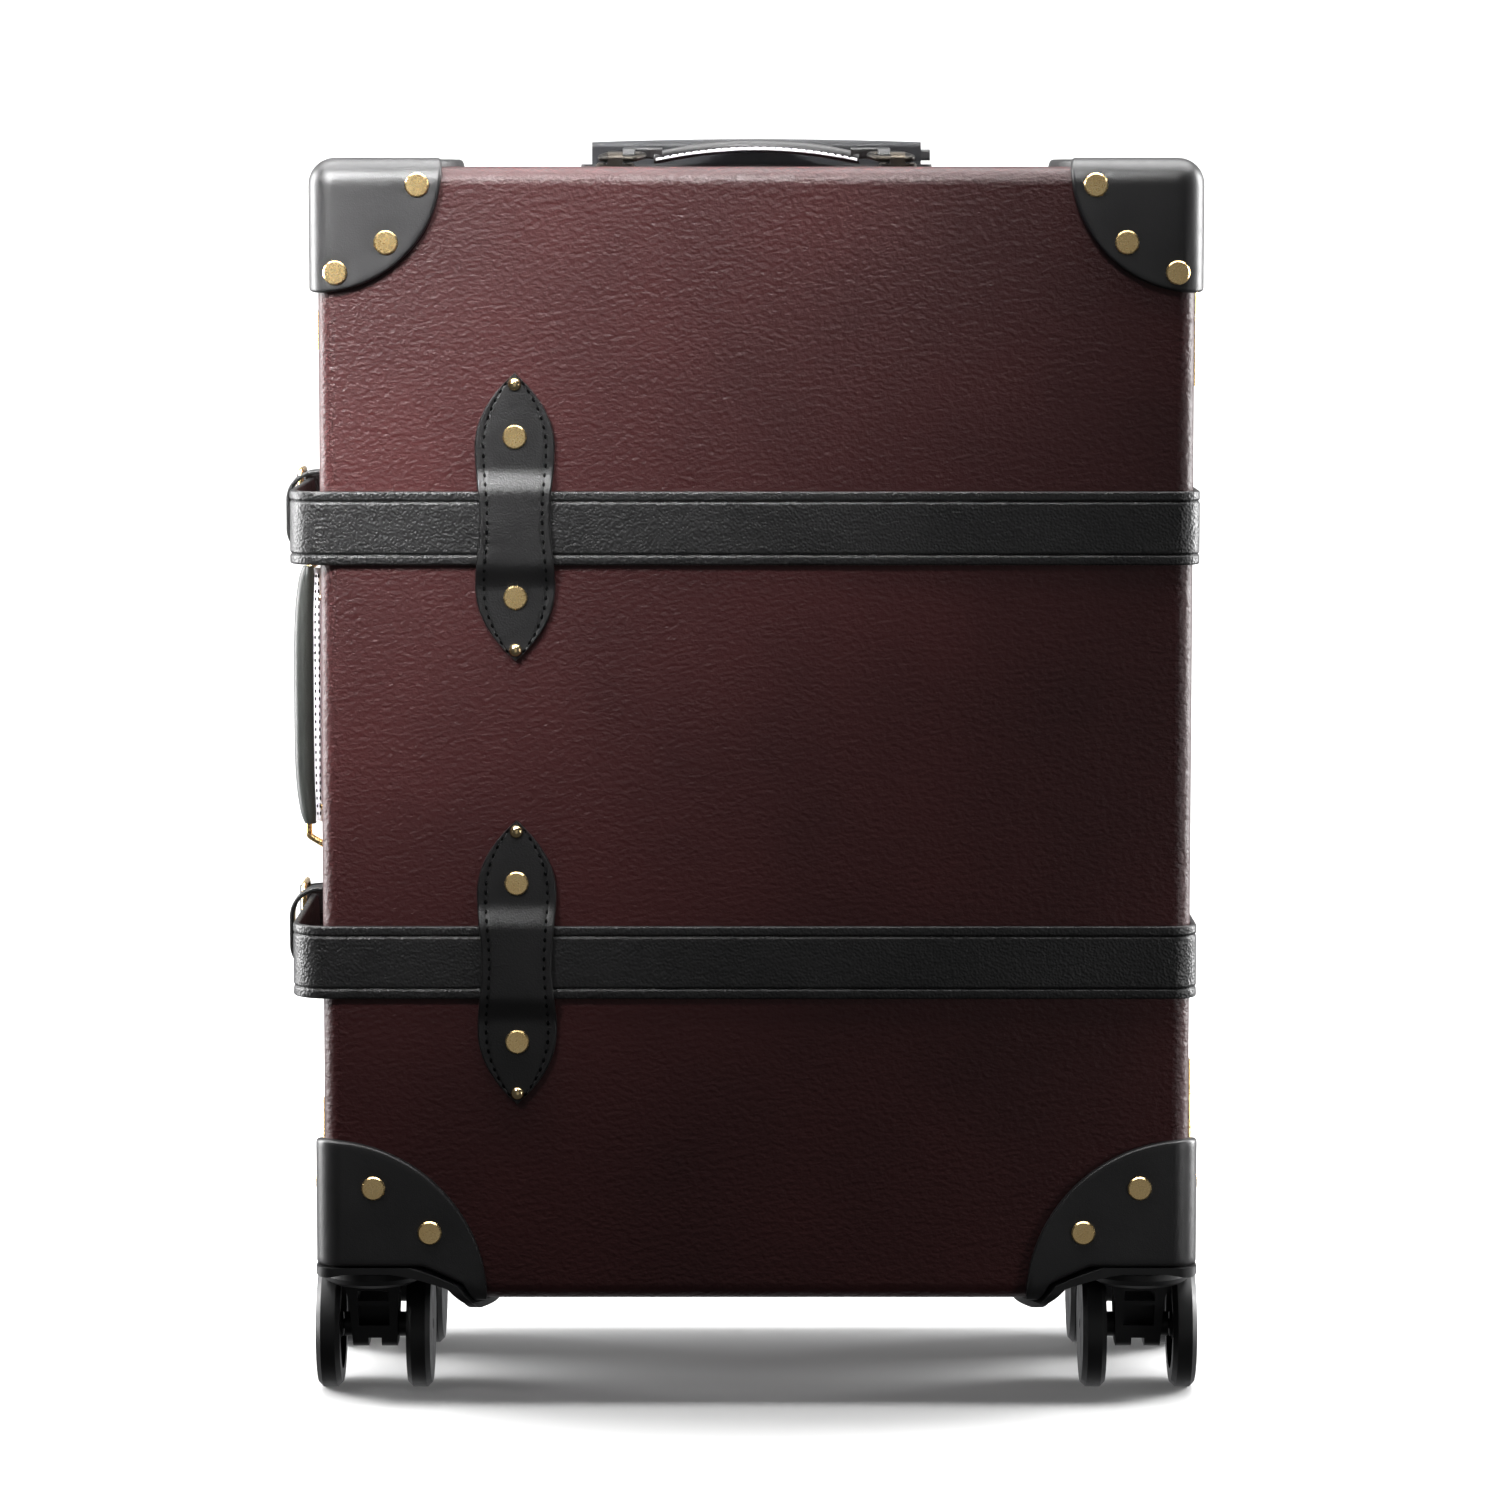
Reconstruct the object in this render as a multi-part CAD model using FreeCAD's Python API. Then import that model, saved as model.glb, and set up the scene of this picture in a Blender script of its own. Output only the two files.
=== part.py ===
import FreeCAD, Part
import math
import os

# Carry-on trunk case on four twin-wheel casters, in millimetres.
# X runs to the right and -Y towards the viewer; Z is up and the floor is Z = 0.

# Case body
BODY_WIDTH = 392.0
BODY_DEPTH = 200.0
BODY_HEIGHT = 512.0
WALL = 3.2
EDGE_RADIUS = 8.0
SEAM_GAP = 0.4
LEATHER_SEAT = 0.1

# Casters
WHEEL_DIAMETER = 58.0
WHEEL_WIDTH = 11.0
WHEEL_SPREAD = 52.4
WHEEL_GAP = 0.9
WHEEL_RISE = 8.0
TYRE_THICKNESS = 6.0
TREAD_CROWN = 2.2
AXLE_DIAMETER = 5.0
CASTER_TRAIL = 18.0
CASTER_INSET_X = 20.0
CASTER_INSET_Y = 32.0
SWEEP_CLEARANCE = 1.5
CEILING_CLEARANCE = 4.5
DOME_SHOULDER = 18.0
DOME_FOOT = 1.0
HOUSING_WALL = 3.0
HOUSING_SEAT = 0.15
STEM_DIAMETER = 10.0
BOSS_TOP_RADIUS = 21.0
BOSS_BOTTOM_RADIUS = 18.5
BOSS_DROP = 2.6
CROWN_RADIUS = 23.0
CROWN_HEIGHT = 7.4
CROWN_ROUND = 8.0
CROWN_STEPS = ((0.0, 0.6), (0.15, 0.3), (0.5, 0.08), (1.0, 0.0))
STEM_LENGTH = 4.8
FORK_WIDTH = 26.4
FORK_WAIST = 22.4
FORK_FOOT = 20.4
FORK_DEPTH = 20.0
FORK_SETBACK = 7.0
FORK_NOSE = 9.0
FORK_TAIL = 9.0
FORK_CHEEK = 3.2
FORK_BAR = 2.4
FORK_WINDOW = (3.2, 5.2)
FORK_RECESS = (10.4, 4.0)
FORK_NOTCH = (6.0, 4.6)
FORK_ROUNDS = (2.0, 5.0, 6.0)
AXLE_INSET = 3.0
HUB_WALL = 3.2
COVER_THICKNESS = 2.2
WHEEL_FLANGE = 2.4
SPOKE_RECESS = 2.2
SPOKE_COUNT = 6
SPOKE_WIDTH = 1.8
RUNNING_FIT = 0.05
SIDE_CLEARANCE = 0.3

# Corner leathers
CAP_THICKNESS = 4.0
TOP_CAP_REACH = 56.0
BOTTOM_CAP_REACH = 74.0

# Belts
STRAP_WIDTH = 33.0
STRAP_THICKNESS = 3.0
UPPER_STRAP_DROP = 161.0
LOWER_STRAP_RISE = 155.0
STRAP_STANDOFF = 11.0
STRAP_TURN = 14.0
STRAP_TAIL = 30.0
STRAP_JOINT_GAP = 2.0
HOLE_DIAMETER = 4.0
HOLE_PITCH = 18.0
HOLE_COUNT = 3

# Leaf-shaped belt loops
LOOP_OFFSET = 108.0
LOOP_LENGTH = 129.0
LOOP_WIDTH = 35.8
LOOP_WAIST = 31.4
LOOP_SHOULDER = 31.0
LOOP_THICKNESS = 2.6
LOOP_CLEARANCE = 0.3

# Buckles and keepers on the opening side
BUCKLE_WIRE = 2.6
BUCKLE_LENGTH = 24.0
BUCKLE_START = 24.0
BUCKLE_CLEARANCE = 2.6
BUCKLE_SIDE_GAP = 1.6
KEEPER_START = 6.0
KEEPER_WIDTH = 12.0
KEEPER_THICKNESS = 2.0
KEEPER_BULGE = 7.5
KEEPER_CORNER = 12.0
CHAPE_LOOP = 2.4
CHAPE_RISE = 12.0
CHAPE_BEND = 4.0
PRONG_WIDTH = 3.6
PRONG_THICKNESS = 1.8
PRONG_SIDE_GAP = 1.2

# Locks on the opening side
LOCK_OFFSET = 86.0
LOCK_LENGTH = 30.0
LOCK_DEPTH = 20.0
LOCK_HEIGHT = 5.0
LOCK_SETBACK = 3.0
LOCK_CORNER = 5.0
HASP_WIDTH = 18.0
HASP_THICKNESS = 1.6
HASP_REACH = 12.0
HASP_PIVOT_SETBACK = 16.0
HASP_BARREL = 5.0
HASP_NECK = 1.2
HASP_PLATE = (9.0, 6.0, 1.2)
BUTTON_LENGTH = 8.0
BUTTON_WIDTH = 5.0
BUTTON_TRAVEL = 6.0
BUTTON_HEIGHT = 1.6
BUTTON_CORNER = 1.5

# Hinges on the right-hand side
HINGE_OFFSET = 84.0
HINGE_LENGTH = 48.0
HINGE_LEAF = 20.0
HINGE_PLATE = 1.6
HINGE_BARREL = 6.4
HINGE_PIN = 3.0
HINGE_STANDOFF = 5.5
KNUCKLE_GAP = 0.4

# Rim and linings
RIM_THICKNESS = 1.8
RIM_LIP = 6.0
RIM_SEAT = 12.0
RIM_GAP = 0.5
LINING_THICKNESS = 1.2
LINING_GAP = 0.4
BOARD_THICKNESS = 2.0

# Telescopic trolley
TROLLEY_SPACING = 124.0
TROLLEY_SETBACK = 23.0
OUTER_TUBE = (24.0, 13.0, 1.2)
TUBE_STEP = 0.4
TUBE_CORNER = 2.6
MIDDLE_TUBE_WALL = 1.1
GRIP_LENGTH = 156.0
GRIP_DEPTH = 20.0
GRIP_ABOVE = 12.0
GRIP_CROWN = 1.5
GRIP_RADIUS = 4.0
TRAY_DEPTH = 12.0
TRAY_WALL = 1.6
TRAY_FLANGE = 3.0
TRAY_CLEARANCE = 0.5
TUBE_FOOT_GAP = 18.0
BRACKET_MARGIN = 4.0
BRACKET_RISE = 24.0
MIDDLE_FOOT_GAP = 12.0
RELEASE_SIZE = (4.5, 8.0, 5.3)
RELEASE_TRAVEL = 2.5
RELEASE_CORNER = 1.5

# Leather handles
HANDLE_THICKNESS = 13.0
HANDLE_BREADTH = 9.0
TOP_HANDLE_BREADTH = 6.0
SIDE_HANDLE_STANDOFF = 21.5
TOP_HANDLE_RISE = 34.0
TOP_HANDLE_LEAN = 78.0
TOP_HANDLE_SPAN = 66.0
TOP_HANDLE_SETBACK = 30.0
SIDE_HANDLE_SETBACK = 26.0
HANDLE_END_GAP = 4.0
SIDE_HANDLE_LIFT = 8.0
RING_WIRE = 3.0
RING_RISE = 10.0
RING_SHIFT = 6.0
SLEEVE_WALL = 2.2
SLEEVE_LENGTH = 6.0
EYE_FOOT = (18.0, 12.0, 4.0)
EYE_LENGTH = 7.0
EYE_WALL = 1.6
EYE_CLEARANCE = 0.3
EYE_PLATE = 1.4
SIDE_EYE_HEIGHT = 5.5
TOP_EYE_HEIGHT = 4.0

# Levels and places that follow from the sizes above
WHEEL_RADIUS = WHEEL_DIAMETER / 2
FORK_ROOM = WHEEL_SPREAD / 2 - WHEEL_WIDTH - WHEEL_GAP
BODY_BOTTOM = WHEEL_DIAMETER - WHEEL_RISE
BODY_TOP = BODY_BOTTOM + BODY_HEIGHT
HALF_WIDTH = BODY_WIDTH / 2
HALF_DEPTH = BODY_DEPTH / 2
UPPER_STRAP_Z = BODY_TOP - UPPER_STRAP_DROP
LOWER_STRAP_Z = BODY_BOTTOM + LOWER_STRAP_RISE
STRAP_LEVELS = (UPPER_STRAP_Z, LOWER_STRAP_Z)
LOCK_LEVELS = (UPPER_STRAP_Z + LOCK_OFFSET, LOWER_STRAP_Z - LOCK_OFFSET)
HINGE_LEVELS = (UPPER_STRAP_Z + HINGE_OFFSET, LOWER_STRAP_Z - HINGE_OFFSET)
HINGE_X = HALF_WIDTH + HINGE_STANDOFF
CASTER_X = HALF_WIDTH - CASTER_INSET_X
CASTER_Y = HALF_DEPTH - CASTER_INSET_Y
TROLLEY_Y = HALF_DEPTH - TROLLEY_SETBACK
RING_BORE = RING_WIRE / 2 + EYE_CLEARANCE
RING_SLOPE = RING_SHIFT / RING_RISE
RING_LEG = RING_WIRE / 2 * math.hypot(1, RING_SLOPE) + EYE_CLEARANCE
RING_BAR = EYE_LENGTH + 2 * (RING_SLOPE * (RING_BORE + EYE_WALL) + RING_LEG)

UP = FreeCAD.Vector(0, 0, 1)
RIGHT = FreeCAD.Vector(1, 0, 0)
BACK = FreeCAD.Vector(0, 1, 0)
ORIGIN = FreeCAD.Vector(0, 0, 0)


# Shared shape helpers
def vec(x, y, z):
    """A point or direction."""
    return FreeCAD.Vector(x, y, z)


def block(x0, x1, y0, y1, z0, z1):
    """A square-edged block between two corners."""
    return Part.makeBox(x1 - x0, y1 - y0, z1 - z0, vec(x0, y0, z0))


def soft_block(x0, x1, y0, y1, z0, z1, radius):
    """A block with every edge rounded."""
    sharp = block(x0, x1, y0, y1, z0, z1)
    return sharp.makeFillet(radius, sharp.Edges)


def rod(start, end, radius):
    """A round bar between two points."""
    along = end - start
    return Part.makeCylinder(radius, along.Length, start, along)


def rounded_edges(points, radii):
    """Edges of a closed outline: straight runs with a tangent arc at each corner."""
    count = len(points)
    entries = []
    for i, corner in enumerate(points):
        before = (points[i - 1] - corner).normalize()
        after = (points[(i + 1) % count] - corner).normalize()
        half_angle = before.getAngle(after) / 2
        reach = radii[i] / math.tan(half_angle)
        sagitta = radii[i] / math.sin(half_angle) - radii[i]
        middle = corner
        if radii[i] > 0:
            middle = corner + (before + after).normalize() * sagitta
        entries.append((corner + before * reach, middle, corner + after * reach))
    edges = []
    for i, (arrive, middle, leave) in enumerate(entries):
        if radii[i] > 0:
            edges.append(Part.Arc(arrive, middle, leave).toShape())
        following = entries[(i + 1) % count][0]
        if leave.distanceToPoint(following) > 1e-6:
            edges.append(Part.LineSegment(leave, following).toShape())
    return edges


def plate(points, radii, sweep):
    """A flat outline with rounded corners, carried along a vector."""
    return Part.Face(Part.Wire(rounded_edges(points, radii))).extrude(sweep)


def turned(profile, centre):
    """A solid of revolution about the upright through centre; profile holds (radius, height) pairs."""
    corners = [vec(centre.x + r, centre.y, centre.z + h) for r, h in profile]
    outline = Part.makePolygon(corners + corners[:1])
    return Part.Face(outline).revolve(centre, UP, 360)


def wire_frame(points, wire):
    """A closed frame of round wire along straight runs, mitred at its corners."""
    count = len(points)
    normal = (points[1] - points[0]).cross(points[2] - points[1]).normalize()
    mitres = []
    for i, corner in enumerate(points):
        before = (points[i - 1] - corner).normalize()
        after = (points[(i + 1) % count] - corner).normalize()
        mitres.append((before + after).normalize() * (2 * wire))
    runs = []
    for i, start in enumerate(points):
        j = (i + 1) % count
        end = points[j]
        corners = [start + mitres[i], end + mitres[j], end - mitres[j], start - mitres[i]]
        wedge = plate([corner - normal * wire for corner in corners], [0] * 4, normal * (2 * wire))
        past = (end - start).normalize() * (2 * wire)
        runs.append(rod(start - past, end + past, wire / 2).common(wedge))
    return runs[0].fuse(runs[1:])


def mirror_x(shape):
    """The shape's image on the other side of the case."""
    return shape.mirror(ORIGIN, RIGHT)


def mirror_y(shape):
    """The shape's image on the other face of the case."""
    return shape.mirror(ORIGIN, BACK)


def aimed(shape, place, direction):
    """Turn a shape built along +Z to point along direction, then set it at place."""
    placed = shape.copy()
    placed.Placement = FreeCAD.Placement(place, FreeCAD.Rotation(UP, direction))
    return placed


def save(name, *shapes):
    """Write the solids of one sub-part, with faces of one surface joined, to its own file."""
    solids = [solid for shape in shapes for solid in shape.removeSplitter().Solids]
    Part.makeCompound(solids).exportStep("parts/" + name + ".step")


# Case halves
def case_block(grow=0.0):
    """The closed body's outer form, grown or shrunk all round."""
    half_w = HALF_WIDTH + grow
    half_d = HALF_DEPTH + grow
    radius = EDGE_RADIUS + min(grow, 0.0)
    return soft_block(-half_w, half_w, -half_d, half_d, BODY_BOTTOM - grow, BODY_TOP + grow, radius)


def half_space(front):
    """Everything on one side of the seam between lid and base."""
    far = BODY_DEPTH + BODY_WIDTH
    low, high = (-far, -SEAM_GAP / 2) if front else (SEAM_GAP / 2, far)
    return block(-far, far, low, high, -far, far + BODY_TOP)


def dome(offset, floor):
    """The caster's swept space under a corner, grown by offset, about the front right swivel axis."""
    sweep = math.hypot(WHEEL_SPREAD / 2, CASTER_TRAIL + WHEEL_RADIUS) + SWEEP_CLEARANCE + offset
    spring = BODY_BOTTOM - DOME_FOOT
    ceiling = WHEEL_DIAMETER + CEILING_CLEARANCE + offset
    half_rise = (ceiling - spring) / 2
    return turned([
        (0, floor), (sweep, floor), (sweep, spring), (sweep - DOME_SHOULDER / 4, spring + half_rise),
        (sweep - DOME_SHOULDER, ceiling), (0, ceiling),
    ], vec(CASTER_X, -CASTER_Y, 0))


def corner_pockets(front):
    """The two domed cut-outs for one half's casters."""
    pocket = dome(HOUSING_WALL + HOUSING_SEAT, BODY_BOTTOM - 2 * CAP_THICKNESS)
    if not front:
        pocket = mirror_y(pocket)
    return pocket.fuse(mirror_x(pocket))


def case_shell(front):
    """One half of the fibreboard body, open at the seam and cut out for its casters."""
    shell = case_block().cut(case_block(-WALL)).common(half_space(front))
    return shell.cut(corner_pockets(front))


def trolley_opening():
    """The slot in the base's top wall that takes the grip's tray."""
    half_x = GRIP_LENGTH / 2 + TRAY_CLEARANCE + TRAY_WALL
    half_y = GRIP_DEPTH / 2 + TRAY_CLEARANCE + TRAY_WALL
    low = BODY_TOP - 2 * WALL
    return block(-half_x, half_x, TROLLEY_Y - half_y, TROLLEY_Y + half_y, low, BODY_TOP + WALL)


def base_rim():
    """The metal lip inside the base on its three free sides, which enters the lid when closed."""
    outer = WALL + RIM_GAP
    low = -RIM_LIP
    left, right = -HALF_WIDTH + outer, HALF_WIDTH - WALL - EDGE_RADIUS
    bottom, top = BODY_BOTTOM + outer, BODY_TOP - outer
    step = RIM_THICKNESS
    corners = [
        vec(right, low, bottom), vec(left, low, bottom), vec(left, low, top), vec(right, low, top),
        vec(right, low, top - step), vec(left + step, low, top - step),
        vec(left + step, low, bottom + step), vec(right, low, bottom + step),
    ]
    turn = EDGE_RADIUS - outer
    radii = [0, turn, turn, 0, 0, turn - step, turn - step, 0]
    rim = plate(corners, radii, BACK * (RIM_LIP + RIM_SEAT))
    return rim.cut(housing_room(False))


BOARD_Y = TROLLEY_Y - GRIP_DEPTH / 2 - TRAY_CLEARANCE - TRAY_WALL - LINING_GAP - BOARD_THICKNESS


def housing_room(front):
    """The space that a lining or board leaves for the caster housings of its half."""
    room = dome(HOUSING_WALL + LINING_GAP, BODY_BOTTOM)
    if not front:
        room = mirror_y(room)
    return room.fuse(mirror_x(room))


def cover_board():
    """The stiff board in front of the trolley tubes."""
    inset = WALL + LINING_GAP
    board = block(
        -HALF_WIDTH + inset, HALF_WIDTH - inset, BOARD_Y, BOARD_Y + BOARD_THICKNESS,
        BODY_BOTTOM + inset + EDGE_RADIUS / 2, BODY_TOP - inset - EDGE_RADIUS / 2,
    )
    return board.cut(housing_room(False))


def lining(front):
    """A thin cloth tray in one half, open towards the seam."""
    inset = WALL + LINING_GAP
    radius = EDGE_RADIUS - WALL
    near = RIM_SEAT + LINING_GAP
    far = HALF_DEPTH - EDGE_RADIUS if front else BOARD_Y - LINING_GAP
    thin = LINING_THICKNESS

    def tray_block(shrink, back):
        left, right = -HALF_WIDTH + inset + shrink, HALF_WIDTH - inset - shrink
        low, high = BODY_BOTTOM + inset + shrink, BODY_TOP - inset - shrink
        corners = [vec(left, near, low), vec(right, near, low), vec(right, near, high), vec(left, near, high)]
        return plate(corners, [radius - shrink] * 4, BACK * (back - near))

    tray = tray_block(0.0, far).cut(tray_block(thin, far - thin))
    if front:
        tray = mirror_y(tray)
    return tray.cut(housing_room(front))


# Corner leathers
def corner_cap(reach, level):
    """The front right leather cap at the body corner on the given level."""
    corner = vec(HALF_WIDTH, -HALF_DEPTH, level)
    ball = Part.makeSphere(reach, corner)
    return case_block(CAP_THICKNESS).common(ball).cut(case_block(LEATHER_SEAT))


def corner_caps(front, level, reach):
    """A half's left and right caps on one level, cut clear of the casters."""
    cap = corner_cap(reach, level)
    if level == BODY_BOTTOM:
        cap = cap.cut(dome(HOUSING_WALL + HOUSING_SEAT, BODY_BOTTOM - 2 * CAP_THICKNESS))
    if not front:
        cap = mirror_y(cap)
    return [cap, mirror_x(cap)]


# Caster housings, forks and wheels
def caster_housing():
    """The moulded dome over the front right caster, with its swivel boss."""
    ceiling = WHEEL_DIAMETER + CEILING_CLEARANCE
    floor = BODY_BOTTOM - CAP_THICKNESS
    shell = dome(HOUSING_WALL, floor).cut(dome(0.0, floor - CAP_THICKNESS))
    shell = shell.common(case_block(CAP_THICKNESS))
    inside = ceiling + HOUSING_WALL / 2
    drop = ceiling - BOSS_DROP
    boss = turned([
        (0, inside), (BOSS_TOP_RADIUS, inside), (BOSS_TOP_RADIUS, ceiling),
        (BOSS_BOTTOM_RADIUS, drop), (0, drop),
    ], vec(CASTER_X, -CASTER_Y, 0))
    socket = Part.makeCylinder(
        STEM_DIAMETER / 2 + RUNNING_FIT, STEM_LENGTH, vec(CASTER_X, -CASTER_Y, drop), UP)
    return shell.fuse(boss).removeSplitter().cut(socket)


def fork_crown(top):
    """The fork's bowl-shaped crown, cut away over the wheels."""
    low = top - CROWN_HEIGHT
    side = [(CROWN_RADIUS - CROWN_ROUND * inward, low + CROWN_HEIGHT * up) for inward, up in CROWN_STEPS]
    bowl = turned([(0, top), (CROWN_RADIUS, top)] + side + [(0, low)], ORIGIN)
    axle = vec(FORK_ROOM, CASTER_TRAIL, WHEEL_RADIUS)
    arch = rod(axle, axle + RIGHT * CROWN_RADIUS, WHEEL_RADIUS + SWEEP_CLEARANCE)
    return bowl.cut([arch, mirror_x(arch)])


def caster_fork():
    """A fork with its crown, window, panelled front, two feet, stem and cast-in axle, on the swivel axis."""
    top = WHEEL_DIAMETER + CEILING_CLEARANCE - BOSS_DROP - SIDE_CLEARANCE
    neck = top - CROWN_HEIGHT
    axle_y = CASTER_TRAIL
    axle_z = WHEEL_RADIUS
    toe = axle_z - FORK_TAIL
    heel = axle_y + FORK_TAIL
    back = FORK_DEPTH - FORK_SETBACK
    sunk = neck + CROWN_HEIGHT / 2
    half = FORK_WIDTH / 2
    soft, nose_round, heel_round = FORK_ROUNDS
    side_view = [
        (-FORK_SETBACK, sunk), (-FORK_SETBACK, neck), (axle_y - FORK_NOSE, toe), (heel, toe),
        (heel, axle_z + FORK_TAIL), (back, neck), (back, sunk),
    ]
    rounds = [0, soft, nose_round, heel_round, heel_round, soft, 0]
    body = plate([vec(-half, y, z) for y, z in side_view], rounds, RIGHT * FORK_WIDTH)
    lintel, window_height = FORK_WINDOW
    recess_height, recess_depth = FORK_RECESS
    window_top = neck - lintel
    waist = window_top - window_height
    front_view = [
        (-half, sunk), (-half, neck), (-FORK_WAIST / 2, waist), (-FORK_FOOT / 2, toe),
        (FORK_FOOT / 2, toe), (FORK_WAIST / 2, waist), (half, neck), (half, sunk),
    ]
    front = -CROWN_RADIUS
    outline = [vec(x, front, z) for x, z in front_view]
    body = body.common(plate(outline, [0] * len(outline), BACK * (heel - front)))
    inner = FORK_FOOT / 2 - FORK_CHEEK
    window = block(-inner, inner, front, heel, waist, window_top)
    slope = (axle_y - FORK_NOSE + FORK_SETBACK) / (neck - toe)
    panel_top = waist - FORK_BAR
    panel_low = panel_top - recess_height
    panel = []
    for level, depth in ((panel_top, -recess_depth), (panel_top, recess_depth),
                         (panel_low, recess_depth), (panel_low, -recess_depth)):
        panel.append(vec(-inner, -FORK_SETBACK + slope * (neck - level) + depth, level))
    recess = plate(panel, [0] * 4, RIGHT * 2 * inner)
    notch_width, notch_rise = FORK_NOTCH
    notch = block(-notch_width / 2, notch_width / 2, front, heel, 0, toe + notch_rise)
    stem = rod(vec(0, 0, top - 1), vec(0, 0, top + STEM_LENGTH), STEM_DIAMETER / 2)
    reach = WHEEL_SPREAD / 2 - AXLE_INSET
    axle = rod(vec(-reach, axle_y, axle_z), vec(reach, axle_y, axle_z), AXLE_DIAMETER / 2)
    collar = rod(vec(inner, axle_y, axle_z), vec(FORK_ROOM, axle_y, axle_z), AXLE_DIAMETER / 2 + HUB_WALL)
    body = body.cut([window, recess, notch])
    return on_caster(body.fuse([fork_crown(top), stem, axle, collar, mirror_x(collar)]))


def on_caster(shape):
    """Carry a shape from the swivel's own axes to the front right caster."""
    placed = shape.copy()
    placed.translate(vec(CASTER_X, -CASTER_Y, 0))
    return placed


def caster_wheel(outward):
    """One wheel with its crowned tread and spoked inner face; outward is +1 for the right-hand one."""
    radius = WHEEL_RADIUS
    half = WHEEL_WIDTH / 2
    bore = AXLE_DIAMETER / 2 + RUNNING_FIT
    hub = AXLE_DIAMETER / 2 + HUB_WALL
    inside = radius - TYRE_THICKNESS - WHEEL_FLANGE
    cover = half - COVER_THICKNESS
    shoulder = half - TREAD_CROWN
    wheel = turned([
        (bore, -half), (hub, -half), (hub, cover), (inside, cover), (inside, -half),
        (radius - TREAD_CROWN, -half), (radius, -shoulder), (radius, shoulder), (radius - TREAD_CROWN, half),
        (bore, half),
    ], ORIGIN)
    spokes = []
    for step in range(SPOKE_COUNT):
        spoke = block(hub - HUB_WALL / 2, inside + WHEEL_FLANGE / 2, -SPOKE_WIDTH / 2, SPOKE_WIDTH / 2,
                      -half + SPOKE_RECESS, cover + COVER_THICKNESS / 2)
        spoke.rotate(ORIGIN, UP, 360 / SPOKE_COUNT * step)
        spokes.append(spoke)
    centre = vec(outward * (WHEEL_SPREAD - WHEEL_WIDTH) / 2, CASTER_TRAIL, WHEEL_RADIUS)
    return on_caster(aimed(wheel.fuse(spokes), centre, RIGHT * outward))


# Belts
def strap_front(level):
    """The lid's part of a belt: round the front from the hinge seam to the tail in the keeper."""
    seat = LEATHER_SEAT
    thick = STRAP_THICKNESS
    side = HALF_WIDTH + seat
    face = -HALF_DEPTH - seat
    free = -HALF_WIDTH - STRAP_STANDOFF
    low = level - STRAP_WIDTH / 2
    start = -STRAP_JOINT_GAP / 2
    turn = EDGE_RADIUS + seat
    outline = [
        vec(side, start, low), vec(side, face, low), vec(free, face, low), vec(free, STRAP_TAIL, low),
        vec(free - thick, STRAP_TAIL, low), vec(free - thick, face - thick, low),
        vec(side + thick, face - thick, low), vec(side + thick, start, low),
    ]
    radii = [0, turn, STRAP_TURN, 0, 0, STRAP_TURN + thick, turn + thick, 0]
    belt = plate(outline, radii, UP * STRAP_WIDTH)
    for step in range(HOLE_COUNT):
        place = vec(free - 2 * thick, -HALF_DEPTH / 2 + step * HOLE_PITCH, level)
        belt = belt.cut(rod(place, place + RIGHT * (4 * thick), HOLE_DIAMETER / 2))
    return belt


HEEL_X = -HALF_WIDTH - STRAP_STANDOFF - STRAP_THICKNESS - BUCKLE_CLEARANCE - BUCKLE_WIRE / 2
HEEL_Y = BUCKLE_START + BUCKLE_LENGTH


def strap_back(level):
    """The base's part of a belt: from the hinge seam round the back to the buckle's heel bar."""
    seat = LEATHER_SEAT
    thick = STRAP_THICKNESS
    side = HALF_WIDTH + seat
    face = HALF_DEPTH + seat
    low = level - STRAP_WIDTH / 2
    turn = EDGE_RADIUS + seat
    start = STRAP_JOINT_GAP / 2
    rise = HEEL_Y + CHAPE_RISE
    loop = BUCKLE_WIRE / 2 + EYE_CLEARANCE
    outline = [
        vec(side, start, low), vec(side, face, low), vec(-side, face, low), vec(-side, rise, low),
        vec(HEEL_X + loop, HEEL_Y, low), vec(HEEL_X - loop, HEEL_Y, low),
        vec(-side - thick, rise + thick / 2, low), vec(-side - thick, face + thick, low),
        vec(side + thick, face + thick, low), vec(side + thick, start, low),
    ]
    radii = [0, turn, turn, CHAPE_BEND, 0, 0, CHAPE_BEND, turn + thick, turn + thick, 0]
    belt = plate(outline, radii, UP * STRAP_WIDTH)
    heel = vec(HEEL_X, HEEL_Y, low)
    belt = belt.fuse(rod(heel, heel + UP * STRAP_WIDTH, loop + CHAPE_LOOP))
    belt = belt.cut(rod(heel - UP, heel + UP * (STRAP_WIDTH + 1), loop))
    slot = PRONG_WIDTH / 2 + PRONG_SIDE_GAP
    clear = loop + CHAPE_LOOP + PRONG_SIDE_GAP
    return belt.cut(block(HEEL_X - clear, HEEL_X + clear, HEEL_Y - clear, HEEL_Y + clear,
                          level - slot, level + slot))


def leaf_outline(level):
    """The pointed outline of a belt loop, waisted over the belt, as a face seen from the front."""
    tip = LOOP_LENGTH / 2
    edges = []
    for side in (-1, 1):
        points = [(0, tip), (LOOP_WIDTH / 2, LOOP_SHOULDER), (LOOP_WAIST / 2, 0),
                  (LOOP_WIDTH / 2, -LOOP_SHOULDER), (0, -tip)]
        curve = Part.BSplineCurve()
        curve.interpolate([vec(-LOOP_OFFSET + side * x, 0, level + z) for x, z in points])
        edges.append(curve.toShape())
    return Part.Face(Part.Wire(edges))


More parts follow.
